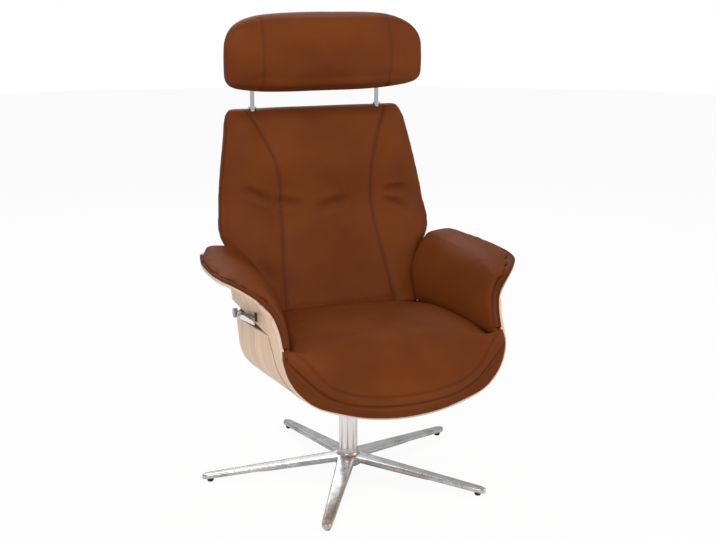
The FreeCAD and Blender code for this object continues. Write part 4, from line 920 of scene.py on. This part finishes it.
class RECLINER_OT_stage(PieceOperator, bpy.types.Operator):
    """Make the camera, the pale floor and the studio light"""

    bl_idname = "recliner.stage"
    bl_label = "Stage"

    def make(self, context):
        scene = context.scene
        scene.view_settings.view_transform = "Standard"
        data = bpy.data.cameras.new("Camera")
        data.sensor_width = SENSOR_WIDTH
        data.lens = FOCAL_LENGTH
        camera = bpy.data.objects.new("Camera", data)
        aim(camera, CAMERA_PLACE, CAMERA_TARGET)
        scene.collection.objects.link(camera)
        scene.camera = camera
        self.floor()
        self.lights(scene)

    def floor(self):
        work = bmesh.new()
        bmesh.ops.create_circle(work, cap_ends=True, radius=9, segments=64)
        floor = object_from("floor", work)
        paint, tree, shader = new_material("Pale floor")
        fill_inputs(
            shader, Base_Color=(0.93, 0.93, 0.93, 1), Roughness=0.9, Specular_IOR_Level=0.1
        )
        glow = fill_inputs(tree.nodes.new("ShaderNodeEmission"), Color=(1, 1, 1, 1))
        seen = tree.nodes.new("ShaderNodeLightPath").outputs["Is Camera Ray"]
        share = math_node(tree, "MULTIPLY", seen, FLOOR_GLOW)
        mix_surfaces(
            tree, share, shader.outputs["BSDF"], glow.outputs["Emission"], "Material Output"
        )
        floor.data.materials.append(paint)

    def lights(self, scene):
        world = bpy.data.worlds.new("Studio")
        scene.world = world
        world.use_nodes = True
        tree = world.node_tree
        room = fill_inputs(tree.nodes["Background"], Color=(1, 1, 1, 1), Strength=ROOM_LIGHT)
        backdrop = tree.nodes.new("ShaderNodeBackground")
        fill_inputs(backdrop, Color=(1, 1, 1, 1), Strength=1.0)
        rays = tree.nodes.new("ShaderNodeLightPath").outputs
        seen = math_node(tree, "MAXIMUM", rays["Is Camera Ray"], rays["Is Transmission Ray"])
        mix_surfaces(
            tree, seen, room.outputs["Background"], backdrop.outputs["Background"],
            "World Output",
        )
        for name, place, width, power in LAMPS:
            data = bpy.data.lights.new(name, "AREA")
            data.shape = "DISK"
            data.size = width
            data.energy = power
            lamp = bpy.data.objects.new(name, data)
            aim(lamp, place, LAMP_TARGET)
            scene.collection.objects.link(lamp)


class RECLINER_OT_metalwork(PieceOperator, bpy.types.Operator):
    """Give the frame's own nodes their finishes"""

    bl_idname = "recliner.metalwork"
    bl_label = "Metalwork and inner pieces"

    def make(self, context):
        slots = {s["node"]: s["material_slot"] for s in frame["record"]["subparts"]}
        for node, piece in NODES.items():
            finish = WRAPPED_NODES.get(node) or NODE_FINISHES.get(slots[node])
            if finish is None:
                continue
            if not piece.material_slots:
                piece.data.materials.append(None)
            for slot in piece.material_slots:
                slot.material = material_named(finish)


class RECLINER_OT_star_base(PieceOperator, bpy.types.Operator):
    """Model the polished star base with its ribs and its filleted hub"""

    bl_idname = "recliner.star_base"
    bl_label = "Star base"

    def make(self, context):
        work = bmesh.new()
        for number in range(5):
            self.leg(work, FIRST_LEG + math.radians(72 * number))
        self.hub(work)
        bmesh.ops.translate(work, verts=work.verts, vec=(0, SETBACK, 0))
        bmesh.ops.recalc_face_normals(work, faces=work.faces)
        piece = object_from("star_base_casting", work)
        shade_smooth(piece, math.radians(50))
        modifier = piece.modifiers.new("Polished edges", "SUBSURF")
        modifier.levels = modifier.render_levels = 2
        dress(piece, "Polished aluminium", "base", ["star_base"])

    def section(self, reach):
        """Corners of a leg's section at one distance from the middle, all in millimetres."""
        root, rounding, tip = 22, 331.0, 345.0
        root_width, tip_width, flare_width, flare_end = 43, 23, 9, 56
        rib_start, rib_end = 202, 232
        share = (reach - root) / (tip - root)
        width = root_width + (tip_width - root_width) * share
        width += flare_width * max(0.0, (flare_end - reach) / (flare_end - root)) ** 2
        if reach > rounding:
            width *= math.sqrt(max(0.04, 1 - ((reach - rounding) / (tip - rounding)) ** 2))
        top = 47 - 29 * share
        low = top - (9 + 2 * share)
        rib = max(0.0, min(1.0, (rib_end - reach) / (rib_end - rib_start)))
        depth = (10 - 7 * share) * rib
        half = width / 2
        rib_half = min(half * 0.62, 7.5 - 3.5 * share)
        right = [
            (half * 0.45, top), (half - 3.2, top - 0.25), (half - 0.7, top - 1.6),
            (half, top - 4.0), (half - 0.4, low + 1.2), (half - 1.6, low),
            (rib_half + 0.8, low - 0.1), (rib_half, low - 0.6 - depth * 0.35),
            (rib_half - 0.3, low - 0.2 - depth), (rib_half * 0.5, low - 0.3 - depth),
        ]
        return right + [(-x, z) for x, z in reversed(right)]

    def leg(self, work, angle):
        reaches = (16, 24, 34, 46, 62, 90, 130, 170, 200, 214, 232, 260, 300, 322, 331, 338,
                   343, 344.7)
        turn = Matrix.Rotation(angle, 3, "Z")
        loft(work, [
            [turn @ Vector((reach, x, z)) * MM for x, z in self.section(reach)]
            for reach in reaches
        ])

    def hub(self, work):
        """The round hub, turned from the radius and height of its outline's corners."""
        profile = ((14, 20.5), (24, 20.5), (29.5, 21.5), (31.5, 25), (32, 32), (31.6, 41),
                   (30.5, 45.2), (27.5, 47.4), (25, 49), (23.2, 52.5), (22.2, 57),
                   (21.9, 62.6), (21.65, 63))
        verts = [work.verts.new(Vector((r, 0, z)) * MM) for r, z in profile]
        edges = [work.edges.new(pair) for pair in zip(verts, verts[1:])]
        bmesh.ops.spin(
            work, geom=verts + edges, cent=(0, 0, 0), axis=(0, 0, 1), angle=2 * math.pi,
            steps=40, use_merge=True, use_duplicate=False,
        )


class RECLINER_OT_plywood(PieceOperator, bpy.types.Operator):
    """Model the two plywood shells"""

    bl_idname = "recliner.plywood"
    bl_label = "Plywood shells"

    def make(self, context):
        upper = plywood_shell("upper_shell_plywood", "seat_shell", UPPER_SLANT)
        dress(upper, "Veneer", "seat", ["seat_shell"])
        lower = plywood_shell("lower_shell_plywood", "rear_shell", LOWER_SLANT)
        dress(lower, "Veneer", "seat", ["rear_shell"])
        surface = surface_of(upper)
        for side, word in SIDES:
            line = seam_on(surface, on_side(side, SHELL_JOINT))
            joint = tube(f"shell_joint_line_{word}", [p for p, _ in line], JOINT_RADIUS)
            dress(joint, "Joint shadow", "seat")


class RECLINER_OT_seat(PieceOperator, bpy.types.Operator):
    """Upholster the seat cushion with its welt and its topstitched edge"""

    bl_idname = "recliner.seat"
    bl_label = "Seat cushion"

    def make(self, context):
        piece = cushion("seat_cushion_leather", "seat_cushion", rounding=3)
        draw_out(piece, "y", start=0.005, full=0.05, move=(0, 0.013, 0.004), floor=0.382)
        draw_out(piece, "z", start=0.345, full=0.285, move=(0, -0.0035, -0.007))
        soften(piece, scale=9, depth=0.0012, seed=3.1)
        surface = surface_of(piece)
        welt = seam_on(surface, both_sides(SEAT_WELT))
        inner = [(x * 0.93, y + 0.006, z + 0.019) for x, y, z in SEAT_WELT]
        stitched = seam_on(surface, both_sides(inner))
        press_line(piece, welt, "seat welt")
        press_line(piece, stitched, "seat topstitching")
        shade_smooth(piece)
        dress(piece, "Leather", "seat", ["seat_cushion"])
        surface = surface_of(piece)
        self.boxing(surface)
        thread = stitches("seat_topstitching", [laid_on(surface, [p for p, _ in stitched])])
        dress(thread, "Thread", "seat")

    def boxing(self, surface):
        """The band of leather under the welt, which laps over the edge of the plywood."""
        lap, reach, crown, depth = 0.0052, 0.016, 0.001, 0.006
        edge_front, seam_front, crown_front = 0.0012, 0.004, 0.0042
        sections = []
        for place in smooth_line(both_sides(FRONT_RIM), 0.005):
            away = Vector((place.x, 0, place.z - SIDE_MIDDLE)).normalized()
            edge = place + away * lap + Vector((0, -edge_front, 0))
            near = place - away * reach + Vector((0, -seam_front, 0))
            seam, _, _, _ = surface.find_nearest(near)
            middle = (edge + seam) / 2
            sections.append((
                edge, middle + Vector((0, -crown_front, 0)) + away * crown, seam,
                middle + Vector((0, depth, 0)),
            ))
        dress(strip("seat_boxing", sections), "Boxing leather", "seat")


class RECLINER_OT_arms(PieceOperator, bpy.types.Operator):
    """Upholster the two arm pads"""

    bl_idname = "recliner.arms"
    bl_label = "Arm pads"

    def make(self, context):
        for side, word in SIDES:
            piece = cushion(f"arm_pad_{word}_leather", f"arm_pad_{word}", rounding=3)
            draw_out(piece, "y", start=0.02, full=0.12, move=(-side * 0.007, 0.003, 0.002))
            soften(piece, scale=8, depth=0.0010, seed=5.0 + side)
            surface = surface_of(piece)
            seam = seam_on(surface, on_side(side, ARM_RIM, (-0.013, 0.004, 0)))
            press_line(piece, seam, "arm boxing")
            press_line(piece, seam_on(surface, on_side(side, ARM_FRONT)), "arm front")
            rim = smooth_line(on_side(side, ARM_RIM, (-0.0015, 0, 0.0012)))
            self.boxing(word, rim, seam)
            cord = tube(f"arm_piping_{word}", rim, settings().piping_radius)
            dress(cord, "Piping leather", "seat")
            shade_smooth(piece)
            dress(piece, "Leather", "seat", [f"arm_pad_{word}"])

    def boxing(self, word, rim, seam):
        """The band of leather between the arm pad's seam and the plywood."""
        count, sunk, crown, depth = 90, 0.0004, 0.0030, 0.0036
        sections = []
        for step in range(count + 1):
            outer = rim[round(step * (len(rim) - 1) / count)]
            place, normal = seam[round(step * (len(seam) - 1) / count)]
            inner = place - normal * sunk
            middle = (outer + inner) / 2
            sections.append((outer, middle + normal * crown, inner, middle - normal * depth))
        dress(strip(f"arm_boxing_{word}", sections), "Boxing leather", "seat")


class RECLINER_OT_backrest(PieceOperator, bpy.types.Operator):
    """Upholster the backrest with its two curved seams and its boxed edge"""

    bl_idname = "recliner.backrest"
    bl_label = "Backrest"

    def make(self, context):
        piece = cushion("back_cushion_leather", "back_cushion", rounding=4)
        draw_out(piece, "z", start=0.44, full=0.40, move=(0, -0.006, -0.003))
        self.widen_hips(piece)
        soften(piece, scale=7, depth=0.0014, seed=8.4)
        surface = surface_of(piece)
        threads = []
        for side, _ in SIDES:
            points = [self.on_front(surface, side * x, z) for z, x in BACK_SEAM]
            seam = seam_on(surface, points)
            press_line(piece, seam, "back seam")
            press_line(piece, seam_on(surface, on_side(side, BACK_EDGE)), "back edge")
            threads.append(offset_line(seam, side * BACK_STITCHES))
        self.creases(piece)
        shade_smooth(piece)
        dress(piece, "Leather", "backrest", ["back_cushion"])
        surface = surface_of(piece)
        thread = stitches("backrest_topstitching", [laid_on(surface, line) for line in threads])
        dress(thread, "Thread", "backrest")
        cover = cushion("back_cover_leather", "back_cover", rounding=2)
        # The leather's material paints shade from the seam attribute, and the cover has no seam.
        cover.data.attributes.new("seam", "FLOAT", "POINT")
        shade_smooth(cover)
        dress(cover, "Leather", "backrest", ["back_cover"])

    def widen_hips(self, piece):
        """Push the sides out round the height of the hips."""
        height, reach, start, full, most = 0.54, 0.045, 0.19, 0.23, 0.006
        places = places_of(piece)
        hips = np.exp(-((places[:, 2] - height) / reach) ** 2)
        sides = np.clip((np.abs(places[:, 0]) - start) / (full - start), 0, 1)
        push(piece, most * hips * sides)

    def on_front(self, surface, x, z):
        """The point of the cushion's front at one place across and one height."""
        place, _, _, _ = surface.ray_cast(Vector((x, -0.5, z)), Vector((0, 1, 0)))
        return place or surface.find_nearest(Vector((x, 0.24, z)))[0]

    def creases(self, piece):
        """Soft creases at the waist, where the back bends."""
        surface = surface_of(piece)
        for first, last, width, depth, rise in CREASES:
            ends = (self.on_front(surface, x, z) for x, z in (first, last))
            wrinkle(piece, *ends, width, depth, rise)


class RECLINER_OT_headrest(PieceOperator, bpy.types.Operator):
    """Upholster the headrest with its stitched wings"""

    bl_idname = "recliner.headrest"
    bl_label = "Headrest"

    def make(self, context):
        piece = cushion("headrest_leather", "headrest_cushion", rounding=4)
        draw_out(piece, "y", start=0.225, full=0.262, move=(0, 0.003, 0))
        soften(piece, scale=8, depth=0.0012, seed=1.7)
        surface = surface_of(piece)
        threads = []
        for side, _ in SIDES:
            seam = seam_on(surface, self.ring(surface, side * HEADREST_SEAM))
            press_line(piece, seam, "headrest seam")
            for beside in (HEADREST_STITCHES, -HEADREST_STITCHES):
                threads.append(offset_line(seam, beside))
        shade_smooth(piece)
        dress(piece, "Leather", "headrest", ["headrest_cushion"])
        surface = surface_of(piece)
        thread = stitches("headrest_topstitching", [laid_on(surface, line) for line in threads])
        dress(thread, "Thread", "headrest")

    def ring(self, surface, x):
        """Points round the front, top and underside of the pillow at one place across."""
        count, first, last, outside, inside = 12, -75, 75, 0.3, 0.08
        middle = Vector((x, *HEADREST_CORE))
        points = []
        for step in range(count + 1):
            angle = math.radians(first + (last - first) * step / count)
            away = Vector((0, -math.cos(angle), math.sin(angle)))
            place, _, _, _ = surface.ray_cast(middle + away * outside, -away)
            points.append(place or middle + away * inside)
        return points


# Panel and registration


PIECES = ("stage", "metalwork", "star_base", "plywood", "seat", "arms", "backrest", "headrest")


class RECLINER_PT_panel(bpy.types.Panel):
    """Sidebar panel with the recliner's pieces and settings"""

    bl_label = "Swivel Recliner"
    bl_idname = "RECLINER_PT_panel"
    bl_space_type = "VIEW_3D"
    bl_region_type = "UI"
    bl_category = "Recliner"

    def draw(self, context):
        column = self.layout.column()
        for name in ReclinerSettings.__annotations__:
            column.prop(context.scene.recliner, name)
        for name in PIECES:
            column.operator(f"recliner.{name}")


CLASSES = (
    ReclinerSettings,
    RECLINER_OT_stage,
    RECLINER_OT_metalwork,
    RECLINER_OT_star_base,
    RECLINER_OT_plywood,
    RECLINER_OT_seat,
    RECLINER_OT_arms,
    RECLINER_OT_backrest,
    RECLINER_OT_headrest,
    RECLINER_PT_panel,
)


def register():
    for item in CLASSES:
        bpy.utils.register_class(item)
    bpy.types.Scene.recliner = PointerProperty(type=ReclinerSettings)


def unregister():
    del bpy.types.Scene.recliner
    for item in reversed(CLASSES):
        bpy.utils.unregister_class(item)


def main():
    register()
    for name in PIECES:
        getattr(bpy.ops.recliner, name)()


if __name__ == "__main__":
    main()
